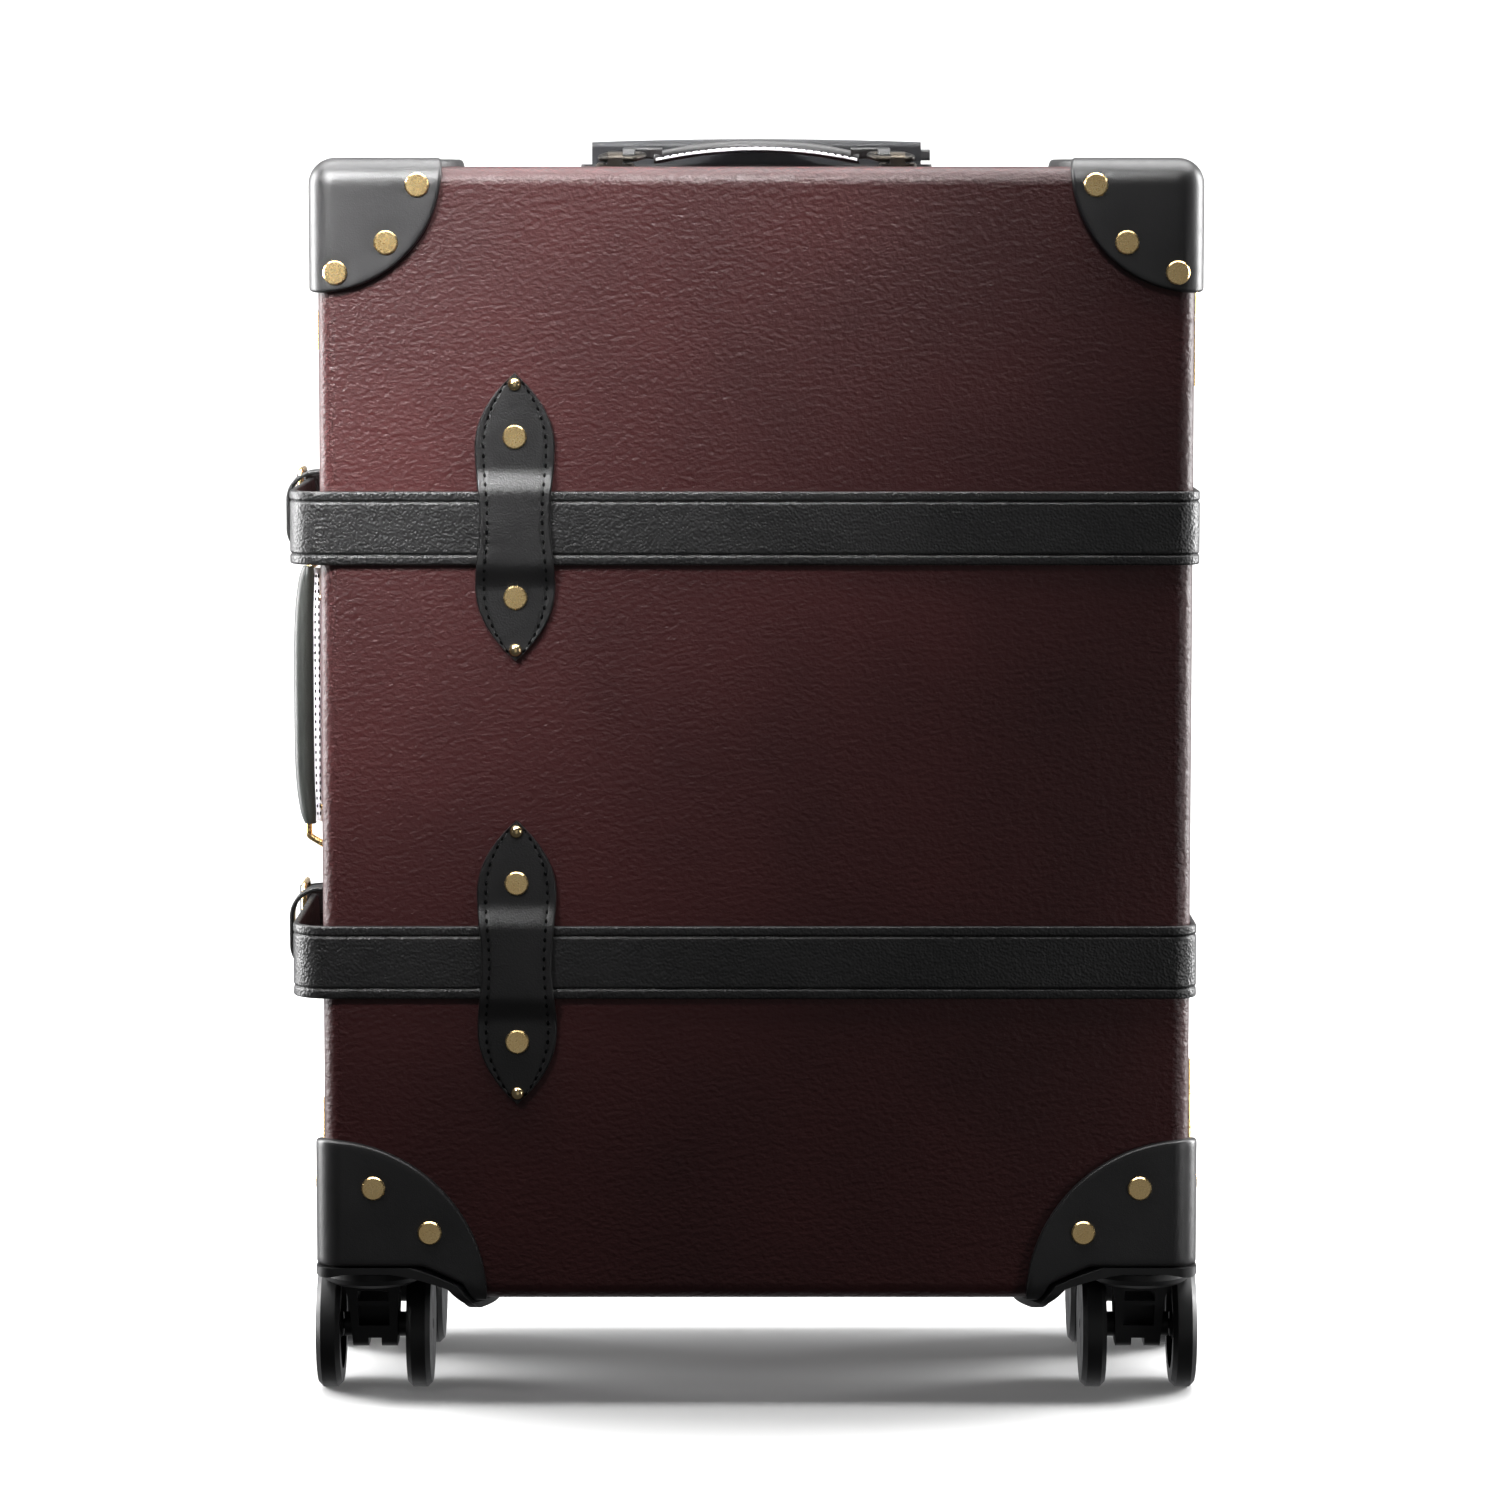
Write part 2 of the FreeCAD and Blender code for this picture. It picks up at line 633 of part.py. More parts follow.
def strap_loop(level):
    """A leaf-shaped leather loop on the lid's face, bridged over the belt."""
    face = -HALF_DEPTH - LEATHER_SEAT
    over = face - STRAP_THICKNESS - LOOP_CLEARANCE
    thick = LOOP_THICKNESS
    tip = LOOP_LENGTH / 2
    crest = STRAP_WIDTH / 2 + LOOP_CLEARANCE
    foot = crest + thick
    left = -LOOP_OFFSET - LOOP_WIDTH
    heights = [(face, -tip), (face, -foot), (over, -crest), (over, crest), (face, foot), (face, tip),
               (face - thick, tip), (face - thick, foot + thick), (over - thick, crest + thick / 2),
               (over - thick, -crest - thick / 2), (face - thick, -foot - thick), (face - thick, -tip)]
    bridge = plate([vec(left, y, level + z) for y, z in heights], [0] * len(heights),
                   RIGHT * (2 * LOOP_WIDTH))
    leaf = leaf_outline(level)
    leaf.translate(BACK * (over - 2 * thick))
    return leaf.extrude(BACK * (face - over + 3 * thick)).common(bridge)


# Buckles and keepers
def strap_keeper(level):
    """A slack leather loop on the base that the belt's tail runs through."""
    wall = -HALF_WIDTH - LEATHER_SEAT
    bulge = -HALF_WIDTH - STRAP_STANDOFF - STRAP_THICKNESS - KEEPER_BULGE
    half = STRAP_WIDTH / 2 + KEEPER_THICKNESS
    thick = KEEPER_THICKNESS

    def ring(grow, near):
        corners = [vec(near, KEEPER_START, level - half - grow), vec(near, KEEPER_START, level + half + grow),
                   vec(bulge - grow, KEEPER_START, level + half + grow),
                   vec(bulge - grow, KEEPER_START, level - half - grow)]
        return plate(corners, [1, 1, KEEPER_CORNER + grow, KEEPER_CORNER + grow], BACK * KEEPER_WIDTH)

    return ring(thick, wall).cut(ring(0.0, wall - thick))


def buckle_frame(level):
    """A brass wire frame outside the belt's tail, held at its heel bar by the back belt."""
    half = STRAP_WIDTH / 2 + BUCKLE_SIDE_GAP + BUCKLE_WIRE / 2
    corners = [vec(HEEL_X, BUCKLE_START, level - half), vec(HEEL_X, BUCKLE_START, level + half),
               vec(HEEL_X, HEEL_Y, level + half), vec(HEEL_X, HEEL_Y, level - half)]
    return wire_frame(corners, BUCKLE_WIRE)


def buckle_prong(level):
    """The tongue that turns on the heel bar and rests on the frame's free bar."""
    inner = HEEL_X - BUCKLE_WIRE / 2 - EYE_CLEARANCE
    low = level - PRONG_WIDTH / 2
    tip = BUCKLE_START - BUCKLE_WIRE
    outline = [vec(inner, HEEL_Y, low), vec(inner, tip, low), vec(inner - PRONG_THICKNESS / 2, tip, low),
               vec(inner - PRONG_THICKNESS, HEEL_Y, low)]
    tongue = plate(outline, [0, 0, 0, 0], UP * PRONG_WIDTH)
    heel = vec(HEEL_X, HEEL_Y, low)
    bore = BUCKLE_WIRE / 2 + EYE_CLEARANCE
    barrel = rod(heel, heel + UP * PRONG_WIDTH, bore + PRONG_THICKNESS)
    return tongue.fuse(barrel).cut(rod(heel - UP, heel + UP * (PRONG_WIDTH + 1), bore))


# Locks
LOCK_FACE = -HALF_WIDTH - LEATHER_SEAT - LOCK_HEIGHT
HASP_BACK = LOCK_FACE - SIDE_CLEARANCE
HASP_PIVOT_X = HASP_BACK - HASP_THICKNESS + HASP_BARREL / 2
BUTTON_Y = LOCK_SETBACK + LOCK_DEPTH - BUTTON_WIDTH


def lock_body(level):
    """A lock case on the base with a slot for its slide button."""
    half = LOCK_LENGTH / 2
    near = LOCK_SETBACK
    corners = [vec(LOCK_FACE, near, level - half), vec(LOCK_FACE, near + LOCK_DEPTH, level - half),
               vec(LOCK_FACE, near + LOCK_DEPTH, level + half), vec(LOCK_FACE, near, level + half)]
    case = plate(corners, [1, LOCK_CORNER, LOCK_CORNER, 1], RIGHT * LOCK_HEIGHT)
    reach = BUTTON_LENGTH / 4 + SIDE_CLEARANCE
    stem = BUTTON_WIDTH / 4 + SIDE_CLEARANCE
    slot = block(LOCK_FACE - 1, LOCK_FACE + LOCK_HEIGHT * 0.6, BUTTON_Y - stem, BUTTON_Y + stem,
                 level - reach, level + reach + BUTTON_TRAVEL)
    return case.cut(slot)


def lock_button(level):
    """The sliding release on the lock case, with its stem in the slot."""
    half = BUTTON_LENGTH / 2
    wide = BUTTON_WIDTH / 2
    corners = [vec(HASP_BACK, BUTTON_Y - wide, level - half), vec(HASP_BACK, BUTTON_Y + wide, level - half),
               vec(HASP_BACK, BUTTON_Y + wide, level + half), vec(HASP_BACK, BUTTON_Y - wide, level + half)]
    knob = plate(corners, [BUTTON_CORNER] * 4, RIGHT * -BUTTON_HEIGHT)
    stem = block(HASP_BACK - BUTTON_HEIGHT / 2, LOCK_FACE + LOCK_HEIGHT / 2, BUTTON_Y - wide / 2,
                 BUTTON_Y + wide / 2, level - half / 2, level + half / 2)
    return knob.fuse(stem)


def hasp(level):
    """The lid's hinged plate that closes over the lock case."""
    barrel = HASP_BARREL / 2
    pivot_y = -HASP_PIVOT_SETBACK
    knuckle = HASP_WIDTH / 4
    half = HASP_WIDTH / 2
    clear = pivot_y + barrel + HASP_NECK
    outline = [(pivot_y, -knuckle), (clear, -knuckle), (clear, -half), (HASP_REACH, -half),
               (HASP_REACH, half), (clear, half), (clear, knuckle), (pivot_y, knuckle)]
    leaf = plate([vec(HASP_BACK, y, level + z) for y, z in outline], [0, 0, 1, 4, 4, 1, 0, 0],
                 RIGHT * -HASP_THICKNESS)
    pivot = vec(HASP_PIVOT_X, pivot_y, level - knuckle)
    hinge = rod(pivot, pivot + UP * (2 * knuckle), barrel)
    bore = rod(pivot - UP, pivot + UP * (2 * knuckle + 1), barrel / 2 + RUNNING_FIT)
    return leaf.fuse(hinge).cut(bore)


def hasp_mount(level):
    """The hasp's plate on the lid with two knuckles and the pin between them."""
    barrel = HASP_BARREL / 2
    pivot_y = -HASP_PIVOT_SETBACK
    half = HASP_WIDTH / 2
    knuckle = HASP_WIDTH / 4 + SIDE_CLEARANCE
    wall = -HALF_WIDTH - LEATHER_SEAT
    ahead, behind, thick = HASP_PLATE
    corners = [vec(wall, pivot_y - ahead, level - half), vec(wall, pivot_y + behind, level - half),
               vec(wall, pivot_y + behind, level + half), vec(wall, pivot_y - ahead, level + half)]
    base = plate(corners, [3, 1, 1, 3], RIGHT * -thick)
    for low in (level - half, level + knuckle):
        length = half - knuckle
        pivot = vec(HASP_PIVOT_X, pivot_y, low)
        web = block(HASP_PIVOT_X, wall, pivot_y - barrel, pivot_y + barrel, low, low + length)
        base = base.fuse([rod(pivot, pivot + UP * length, barrel), web])
    end = vec(HASP_PIVOT_X, pivot_y, level - half)
    relief = block(HASP_PIVOT_X - barrel, HASP_PIVOT_X + barrel + SIDE_CLEARANCE, pivot_y - barrel - 1,
                   pivot_y + barrel + 1, level - knuckle, level + knuckle)
    return base.cut(relief).fuse(rod(end, end + UP * HASP_WIDTH, barrel / 2))


# Hinges between base and lid
def hinge_leaf(level, front):
    """One leaf of a hinge: the base carries the outer knuckles and the pin, the lid the middle one."""
    side = -1 if front else 1
    wall = HALF_WIDTH + LEATHER_SEAT
    barrel = HINGE_BARREL / 2
    half = HINGE_LENGTH / 2
    third = HINGE_LENGTH / 6
    near = side * (SEAM_GAP / 2 + 1)
    far = near + side * HINGE_LEAF
    corners = [vec(wall, near, level - half), vec(wall, far, level - half),
               vec(wall, far, level + half), vec(wall, near, level + half)]
    leaf = plate(corners, [0, 3, 3, 0], RIGHT * HINGE_PLATE)
    gap = KNUCKLE_GAP / 2
    spans = [(-third + gap, third - gap)] if front else [(-half, -third - gap), (third + gap, half)]
    for low, high in spans:
        foot = vec(HINGE_X, 0, level + low)
        edge = sorted((near, side * barrel))
        web = block(wall, HINGE_X, edge[0], edge[1], level + low, level + high)
        leaf = leaf.fuse([rod(foot, foot + UP * (high - low), barrel), web])
    foot = vec(HINGE_X, 0, level - half)
    if front:
        return leaf.cut(rod(foot, foot + UP * HINGE_LENGTH, HINGE_PIN / 2 + RUNNING_FIT))
    return leaf.fuse(rod(foot, foot + UP * HINGE_LENGTH, HINGE_PIN / 2))


# Telescopic trolley
TRAY_FLOOR = BODY_TOP - TRAY_DEPTH
TUBE_FOOT = BODY_BOTTOM + WALL + TUBE_FOOT_GAP


def tube_sizes(stage):
    """Outside length, outside width and wall of a tube stage, counted from the fixed one."""
    length, width, wall = OUTER_TUBE
    for _ in range(stage):
        shrink = 2 * (wall + TUBE_STEP)
        length, width, wall = length - shrink, width - shrink, MIDDLE_TUBE_WALL
    return length, width, wall


def tube_pair(stage, low, high):
    """The left and right tubes of one stage, with rounded corners and an open bore."""
    length, width, wall = tube_sizes(stage)
    tubes = []
    for centre in (-TROLLEY_SPACING / 2, TROLLEY_SPACING / 2):
        outline = []
        for shrink in (0.0, wall):
            x = length / 2 - shrink
            y = width / 2 - shrink
            corners = [vec(centre - x, TROLLEY_Y - y, low), vec(centre + x, TROLLEY_Y - y, low),
                       vec(centre + x, TROLLEY_Y + y, low), vec(centre - x, TROLLEY_Y + y, low)]
            outline.append(plate(corners, [TUBE_CORNER - shrink] * 4, UP * (high - low)))
        tubes.append(outline[0].cut(outline[1]))
    return tubes


def grip_tray():
    """The recess in the top wall that the grip sinks into, flanged over the opening."""
    half_x = GRIP_LENGTH / 2 + TRAY_CLEARANCE
    half_y = GRIP_DEPTH / 2 + TRAY_CLEARANCE
    low = TRAY_FLOOR - TRAY_WALL

    def slab(grow, bottom, top, radius):
        corners = [vec(-half_x - grow, TROLLEY_Y - half_y - grow, bottom),
                   vec(half_x + grow, TROLLEY_Y - half_y - grow, bottom),
                   vec(half_x + grow, TROLLEY_Y + half_y + grow, bottom),
                   vec(-half_x - grow, TROLLEY_Y + half_y + grow, bottom)]
        return plate(corners, [radius] * 4, UP * (top - bottom))

    flange = slab(TRAY_WALL + TRAY_FLANGE, BODY_TOP + LEATHER_SEAT, BODY_TOP + TRAY_WALL, GRIP_RADIUS)
    tray = slab(TRAY_WALL, low, BODY_TOP + TRAY_WALL, TRAY_WALL).fuse(flange)
    tray = tray.cut(slab(0.0, TRAY_FLOOR, BODY_TOP + 2 * TRAY_WALL, 1.0))
    length, width, _ = tube_sizes(1)
    x = length / 2 + TUBE_STEP
    y = width / 2 + TUBE_STEP
    for centre in (-TROLLEY_SPACING / 2, TROLLEY_SPACING / 2):
        tray = tray.cut(block(centre - x, centre + x, TROLLEY_Y - y, TROLLEY_Y + y, low - 1, TRAY_FLOOR + 1))
    return tray


def tube_bracket():
    """The pressed foot on the back wall that the fixed tubes stand on."""
    length, width, _ = OUTER_TUBE
    half = TROLLEY_SPACING / 2 + length / 2 + BRACKET_MARGIN
    back = HALF_DEPTH - WALL - LEATHER_SEAT
    front = TROLLEY_Y - width / 2 - BRACKET_MARGIN / 2
    sole = TUBE_FOOT - BOARD_THICKNESS
    bend = BOARD_THICKNESS / 4
    side_view = [
        (front, sole), (back, sole), (back, TUBE_FOOT + BRACKET_RISE),
        (back - BOARD_THICKNESS, TUBE_FOOT + BRACKET_RISE), (back - BOARD_THICKNESS, TUBE_FOOT),
        (front, TUBE_FOOT),
    ]
    radii = [0, BOARD_THICKNESS + bend, 0, 0, bend, 0]
    return plate([vec(-half, y, z) for y, z in side_view], radii, RIGHT * (2 * half))


RELEASE_Z = BODY_TOP + GRIP_ABOVE / 2


def trolley_grip():
    """The moulded grip: crowned along its length, rounded across its top, with the release's pocket."""
    half = GRIP_LENGTH / 2
    deep = GRIP_DEPTH / 2
    low = TRAY_FLOOR + SIDE_CLEARANCE
    top = BODY_TOP + GRIP_ABOVE
    front = TROLLEY_Y - deep
    edges = [
        Part.LineSegment(vec(half, front, top), vec(half, front, low)).toShape(),
        Part.LineSegment(vec(half, front, low), vec(-half, front, low)).toShape(),
        Part.LineSegment(vec(-half, front, low), vec(-half, front, top)).toShape(),
        Part.Arc(vec(-half, front, top), vec(0, front, top + GRIP_CROWN), vec(half, front, top)).toShape(),
    ]
    long_form = Part.Face(Part.Wire(edges)).extrude(BACK * GRIP_DEPTH)
    peak = top + GRIP_CROWN
    corners = [vec(-half, front, low), vec(-half, front + GRIP_DEPTH, low),
               vec(-half, front + GRIP_DEPTH, peak), vec(-half, front, peak)]
    across = plate(corners, [2, 2, GRIP_RADIUS, GRIP_RADIUS], RIGHT * GRIP_LENGTH)
    reach, breadth, height = RELEASE_SIZE
    clear = SIDE_CLEARANCE
    pocket = block(half - reach - RELEASE_TRAVEL - clear, half + 1,
                   TROLLEY_Y - breadth / 2 - clear, TROLLEY_Y + breadth / 2 + clear,
                   RELEASE_Z - height / 2 - clear, RELEASE_Z + height / 2 + clear)
    return long_form.common(across).cut(pocket)


def release_button():
    """The push button in the grip's right-hand end."""
    reach, breadth, height = RELEASE_SIZE
    half = GRIP_LENGTH / 2
    low, high = RELEASE_Z - height / 2, RELEASE_Z + height / 2
    near, far = TROLLEY_Y - breadth / 2, TROLLEY_Y + breadth / 2
    corners = [vec(half - reach, near, low), vec(half - reach, far, low),
               vec(half - reach, far, high), vec(half - reach, near, high)]
    return plate(corners, [RELEASE_CORNER] * 4, RIGHT * (2 * reach))


# Leather handles, built along X about the eyes' axis and standing out along +Z
def handle_leather(span, rise, breadth):
    """An arched leather roll with a sleeve at each end for its ring."""
    reach = span - RING_BAR / 2 - RING_SHIFT - RING_WIRE
    end = RING_RISE + RING_WIRE * 1.5
    inner = rise - HANDLE_THICKNESS
    inner_end = end - HANDLE_THICKNESS * 0.6
    half = breadth / 2
    edges = [
        Part.Arc(vec(-reach, -half, end), vec(0, -half, rise), vec(reach, -half, end)).toShape(),
        Part.LineSegment(vec(reach, -half, end), vec(reach, -half, inner_end)).toShape(),
        Part.Arc(vec(reach, -half, inner_end), vec(0, -half, inner), vec(-reach, -half, inner_end)).toShape(),
        Part.LineSegment(vec(-reach, -half, inner_end), vec(-reach, -half, end)).toShape(),
    ]
    arch = Part.Face(Part.Wire(edges)).extrude(BACK * breadth)
    bore = RING_BORE
    near = RING_BAR / 2 + RING_SHIFT - RING_SLOPE * (bore + SLEEVE_WALL) - RING_LEG
    far = near - SLEEVE_LENGTH
    for side in (-1, 1):
        inside, outside = sorted((side * (span - near), side * (span - far)))
        root, lip = sorted((side * (reach - SLEEVE_WALL), side * (span - far)))
        trim = half - EYE_CLEARANCE
        tongue = block(root, lip, -trim, trim, RING_RISE + bore, end)
        loop = rod(vec(inside, 0, RING_RISE), vec(outside, 0, RING_RISE), bore + SLEEVE_WALL)
        loop = loop.common(block(inside, outside, -half, half, 0, 2 * RING_RISE))
        start = vec(side * (reach + EYE_CLEARANCE), 0, RING_RISE)
        clear = rod(start, vec(side * (span + near), 0, RING_RISE), bore)
        arch = arch.fuse([tongue, loop]).cut(clear)
    return arch


def handle_ring(span, side):
    """A bent wire link from a wall eye to the handle's sleeve."""
    near, far = span - RING_BAR / 2, span + RING_BAR / 2
    foot = [vec(side * near, 0, 0), vec(side * far, 0, 0)]
    head = [vec(side * (far - RING_SHIFT), 0, RING_RISE), vec(side * (near - RING_SHIFT), 0, RING_RISE)]
    return wire_frame(foot + head, RING_WIRE)


def handle_eye(span, side, height):
    """A brass eye and its foot plate, with the foot the given height below the eye's axis."""
    bore = RING_BORE
    outer = bore + EYE_WALL
    half = EYE_LENGTH / 2
    centre = side * span
    low = -height + LEATHER_SEAT
    length, width, corner = EYE_FOOT
    left, right = centre - length / 2, centre + length / 2
    corners = [vec(left, -width / 2, low), vec(right, -width / 2, low),
               vec(right, width / 2, low), vec(left, width / 2, low)]
    foot = plate(corners, [corner] * 4, UP * EYE_PLATE)
    barrel = rod(vec(centre - half, 0, 0), vec(centre + half, 0, 0), outer)
    web = block(centre - half, centre + half, -outer, outer, low, 0)
    bore_rod = rod(vec(centre - half - 1, 0, 0), vec(centre + half + 1, 0, 0), bore)
    return foot.fuse([barrel, web]).cut(bore_rod)


def lay_on_top(shape, lean):
    """Set a handle shape on the top of the base, leant back by an angle."""
    placed = shape.copy()
    placed.rotate(ORIGIN, RIGHT, -lean)
    placed.translate(vec(0, TOP_HANDLE_SETBACK, BODY_TOP + TOP_EYE_HEIGHT))
    return placed


def lay_on_side(shape):
    """Set a handle shape on the opening side of the base, close under the upper belt."""
    placed = shape.copy()
    placed.rotate(ORIGIN, BACK, -90)
    middle = (UPPER_STRAP_Z + LOWER_STRAP_Z) / 2 + SIDE_HANDLE_LIFT
    placed.translate(vec(-HALF_WIDTH - SIDE_EYE_HEIGHT, SIDE_HANDLE_SETBACK, middle))
    return placed


BELT_SPACE = UPPER_STRAP_Z - LOWER_STRAP_Z - STRAP_WIDTH
SIDE_HANDLE_SPAN = (BELT_SPACE - EYE_FOOT[0]) / 2 - HANDLE_END_GAP - SIDE_HANDLE_LIFT


# Build every sub-part
os.makedirs("parts", exist_ok=True)
BOTH_SIDES = (-1, 1)

base = case_shell(False).cut(trolley_opening())
save("base_shell", base)
save("lid_shell", case_shell(True))
save("base_rim", base_rim())
save("base_lining", lining(False))
save("lid_lining", lining(True))
save("trolley_cover_board", cover_board())

for half_name, is_front in (("front", True), ("rear", False)):
    save(half_name + "_top_corners", *corner_caps(is_front, BODY_TOP, TOP_CAP_REACH))
    save(half_name + "_bottom_corners", *corner_caps(is_front, BODY_BOTTOM, BOTTOM_CAP_REACH))
    housing = caster_housing() if is_front else mirror_y(caster_housing())
    save(half_name + "_caster_housings", housing, mirror_x(housing))

loops = [strap_loop(level) for level in STRAP_LEVELS]
save("front_strap_loops", *loops)
save("back_strap_loops", *[mirror_y(loop) for loop in loops])
for name, level in zip(("upper", "lower"), STRAP_LEVELS):
    save("strap_" + name + "_front", strap_front(level))
    save("strap_" + name + "_back", strap_back(level))
    save("buckle_prong_" + name, buckle_prong(level))
save("strap_keepers", *[strap_keeper(level) for level in STRAP_LEVELS])
save("buckle_frames", *[buckle_frame(level) for level in STRAP_LEVELS])

for name, level in zip(("upper", "lower"), LOCK_LEVELS):
    save("lock_button_" + name, lock_button(level))
    save("lock_hasp_" + name, hasp(level))
save("lock_bodies", *[lock_body(level) for level in LOCK_LEVELS])
save("lock_hasp_mounts", *[hasp_mount(level) for level in LOCK_LEVELS])

save("hinge_leaves_base", *[hinge_leaf(level, False) for level in HINGE_LEVELS])
save("hinge_leaves_lid", *[hinge_leaf(level, True) for level in HINGE_LEVELS])

save("trolley_tray", grip_tray())
save("trolley_outer_tubes", *tube_pair(0, TUBE_FOOT, TRAY_FLOOR - TRAY_WALL))
save("trolley_middle_tubes", *tube_pair(1, TUBE_FOOT + MIDDLE_FOOT_GAP, TRAY_FLOOR))
save("trolley_inner_tubes", *tube_pair(2, TUBE_FOOT + 2 * MIDDLE_FOOT_GAP, TRAY_FLOOR + SIDE_CLEARANCE))
save("trolley_foot_bracket", tube_bracket())
save("trolley_grip", trolley_grip())
save("grip_release_button", release_button())

save("top_handle_grip", lay_on_top(
    handle_leather(TOP_HANDLE_SPAN, TOP_HANDLE_RISE, TOP_HANDLE_BREADTH), TOP_HANDLE_LEAN))
save("top_handle_rings", *[
    lay_on_top(handle_ring(TOP_HANDLE_SPAN, side), TOP_HANDLE_LEAN) for side in BOTH_SIDES])
save("top_handle_mounts", *[
    lay_on_top(handle_eye(TOP_HANDLE_SPAN, side, TOP_EYE_HEIGHT), 0.0) for side in BOTH_SIDES])
save("side_handle_grip", lay_on_side(
    handle_leather(SIDE_HANDLE_SPAN, SIDE_HANDLE_STANDOFF, HANDLE_BREADTH)))
save("side_handle_rings", *[lay_on_side(handle_ring(SIDE_HANDLE_SPAN, side)) for side in BOTH_SIDES])
save("side_handle_mounts", *[
    lay_on_side(handle_eye(SIDE_HANDLE_SPAN, side, SIDE_EYE_HEIGHT)) for side in BOTH_SIDES])

for end_name, is_front in (("front", True), ("rear", False)):
    for side_name, is_right in (("right", True), ("left", False)):
        pieces = {
            "caster_fork_": caster_fork(),
            "outer_wheel_": caster_wheel(1),
            "inner_wheel_": caster_wheel(-1),
        }
        for stem, piece in pieces.items():
            if not is_front:
                piece = mirror_y(piece)
            if not is_right:
                piece = mirror_x(piece)
            save(stem + end_name + "_" + side_name, piece)
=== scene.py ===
import logging
import math
from dataclasses import dataclass, field
from enum import Enum
from typing import Callable, ClassVar, Iterable, Sequence

import bmesh
import bpy
import numpy as np
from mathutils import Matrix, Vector


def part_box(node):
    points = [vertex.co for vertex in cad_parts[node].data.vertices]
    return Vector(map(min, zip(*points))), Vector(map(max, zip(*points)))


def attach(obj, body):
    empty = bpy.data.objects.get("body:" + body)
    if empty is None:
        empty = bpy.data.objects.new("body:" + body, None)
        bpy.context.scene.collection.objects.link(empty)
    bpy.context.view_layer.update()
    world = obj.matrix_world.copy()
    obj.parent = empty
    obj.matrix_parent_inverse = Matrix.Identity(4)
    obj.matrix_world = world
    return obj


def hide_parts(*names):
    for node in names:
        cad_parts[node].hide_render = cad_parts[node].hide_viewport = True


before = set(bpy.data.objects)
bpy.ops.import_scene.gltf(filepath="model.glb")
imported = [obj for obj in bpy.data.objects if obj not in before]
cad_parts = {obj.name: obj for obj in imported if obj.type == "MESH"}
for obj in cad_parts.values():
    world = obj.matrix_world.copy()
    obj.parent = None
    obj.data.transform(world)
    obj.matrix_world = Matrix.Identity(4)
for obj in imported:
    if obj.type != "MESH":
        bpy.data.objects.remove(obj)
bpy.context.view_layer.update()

METRES_PER_MM = 0.001
MERGE_GAP = 1e-6
THIN_GAP = 1e-7
SHARP_ANGLE = math.radians(42.0)
STITCH_SHARE = 0.62
X_AXIS, Y_AXIS, Z_AXIS = np.eye(3)
LOG = logging.getLogger("carry_on_case")

Array = np.ndarray
Socket = bpy.types.NodeSocket


class Body(Enum):
    """The moving bodies that new pieces ride on."""

    BASE = "case_base"
    LID = "lid"
    TOP_HANDLE = "top_handle"
    SIDE_HANDLE = "side_handle"


class Slot(Enum):
    """Names of the record's material slots; new pieces are passed one, but it is not applied to them."""

    LEATHER = "black_leather"
    BRASS = "brass"
    CLOTH = "lining_cloth"


class Side(Enum):
    """The two faces of the case, with the sign of Y that each looks along."""

    FRONT = -1
    BACK = 1

    @property
    def end(self) -> str:
        """The frame's word for the corners and casters on this side."""
        return "front" if self is Side.FRONT else "rear"

    @property
    def body(self) -> Body:
        """The body that carries this face."""
        return Body.LID if self is Side.FRONT else Body.BASE

    @property
    def normal(self) -> Array:
        """The unit direction that this face looks along."""
        return self.value * Y_AXIS


def node_box(node: str) -> tuple[Array, Array]:
    """A CAD node's lowest and highest corners in millimetres."""
    low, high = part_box(node)
    return np.array(low) / METRES_PER_MM, np.array(high) / METRES_PER_MM


def smoothstep(value: Array, low: float, high: float) -> Array:
    """A ramp from 0 at low to 1 at high, which may lie below low, with level ends: 3t^2 - 2t^3."""
    t = np.clip((np.asarray(value, float) - low) / (high - low), 0.0, 1.0)
    return t * t * (3.0 - 2.0 * t)


def unit(vectors: Array) -> Array:
    """Vectors along the last axis, brought to length 1."""
    return vectors / np.linalg.norm(vectors, axis=-1, keepdims=True)


def full_turn(count: int) -> Array:
    """Even angles round a circle."""
    return np.linspace(0.0, 2.0 * np.pi, count, endpoint=False)


def point_grid(*parts: Array | float) -> Array:
    """Coordinates put together into points, each part spread over the grid that they share."""
    return np.stack(np.broadcast_arrays(*parts), axis=-1)


def runs(*spans: tuple[float, float, int]) -> Array:
    """Evenly spaced runs one after another, each given by its first value, its last and its count."""
    return np.concatenate([np.linspace(*span) for span in spans])


# Surfaces


@dataclass
class Surface:
    """Points in millimetres and the faces between them."""

    points: Array
    faces: list

    def mapped(self, place: Callable[[Array], Array]) -> "Surface":
        """The same faces on points moved by a function of all points."""
        return Surface(place(self.points), self.faces)


def joined(surfaces: Iterable[Surface]) -> Surface:
    """Several surfaces as one, with their faces renumbered.

    Args:
        surfaces: The surfaces in order.

    Returns:
        The surface that holds them all.
    """
    parts = list(surfaces)
    starts = np.cumsum([0] + [len(part.points) for part in parts[:-1]])
    faces = [tuple(start + index for index in face)
             for part, start in zip(parts, starts) for face in part.faces]
    return Surface(np.vstack([part.points for part in parts]), faces)


def grid_faces(rows: int, cols: int, ring: bool) -> list:
    """Quads of a grid whose columns close on themselves.

    Args:
        rows: Number of sections.
        cols: Points in each section.
        ring: Whether the last section joins the first.

    Returns:
        Index quads.
    """
    index = np.arange(rows * cols).reshape(rows, cols)
    if ring:
        index = np.vstack([index, index[:1]])
    right = np.roll(index, -1, axis=1)
    quads = np.stack([index[:-1], right[:-1], right[1:], index[1:]], axis=-1)
    return [tuple(quad) for quad in quads.reshape(-1, 4).tolist()]


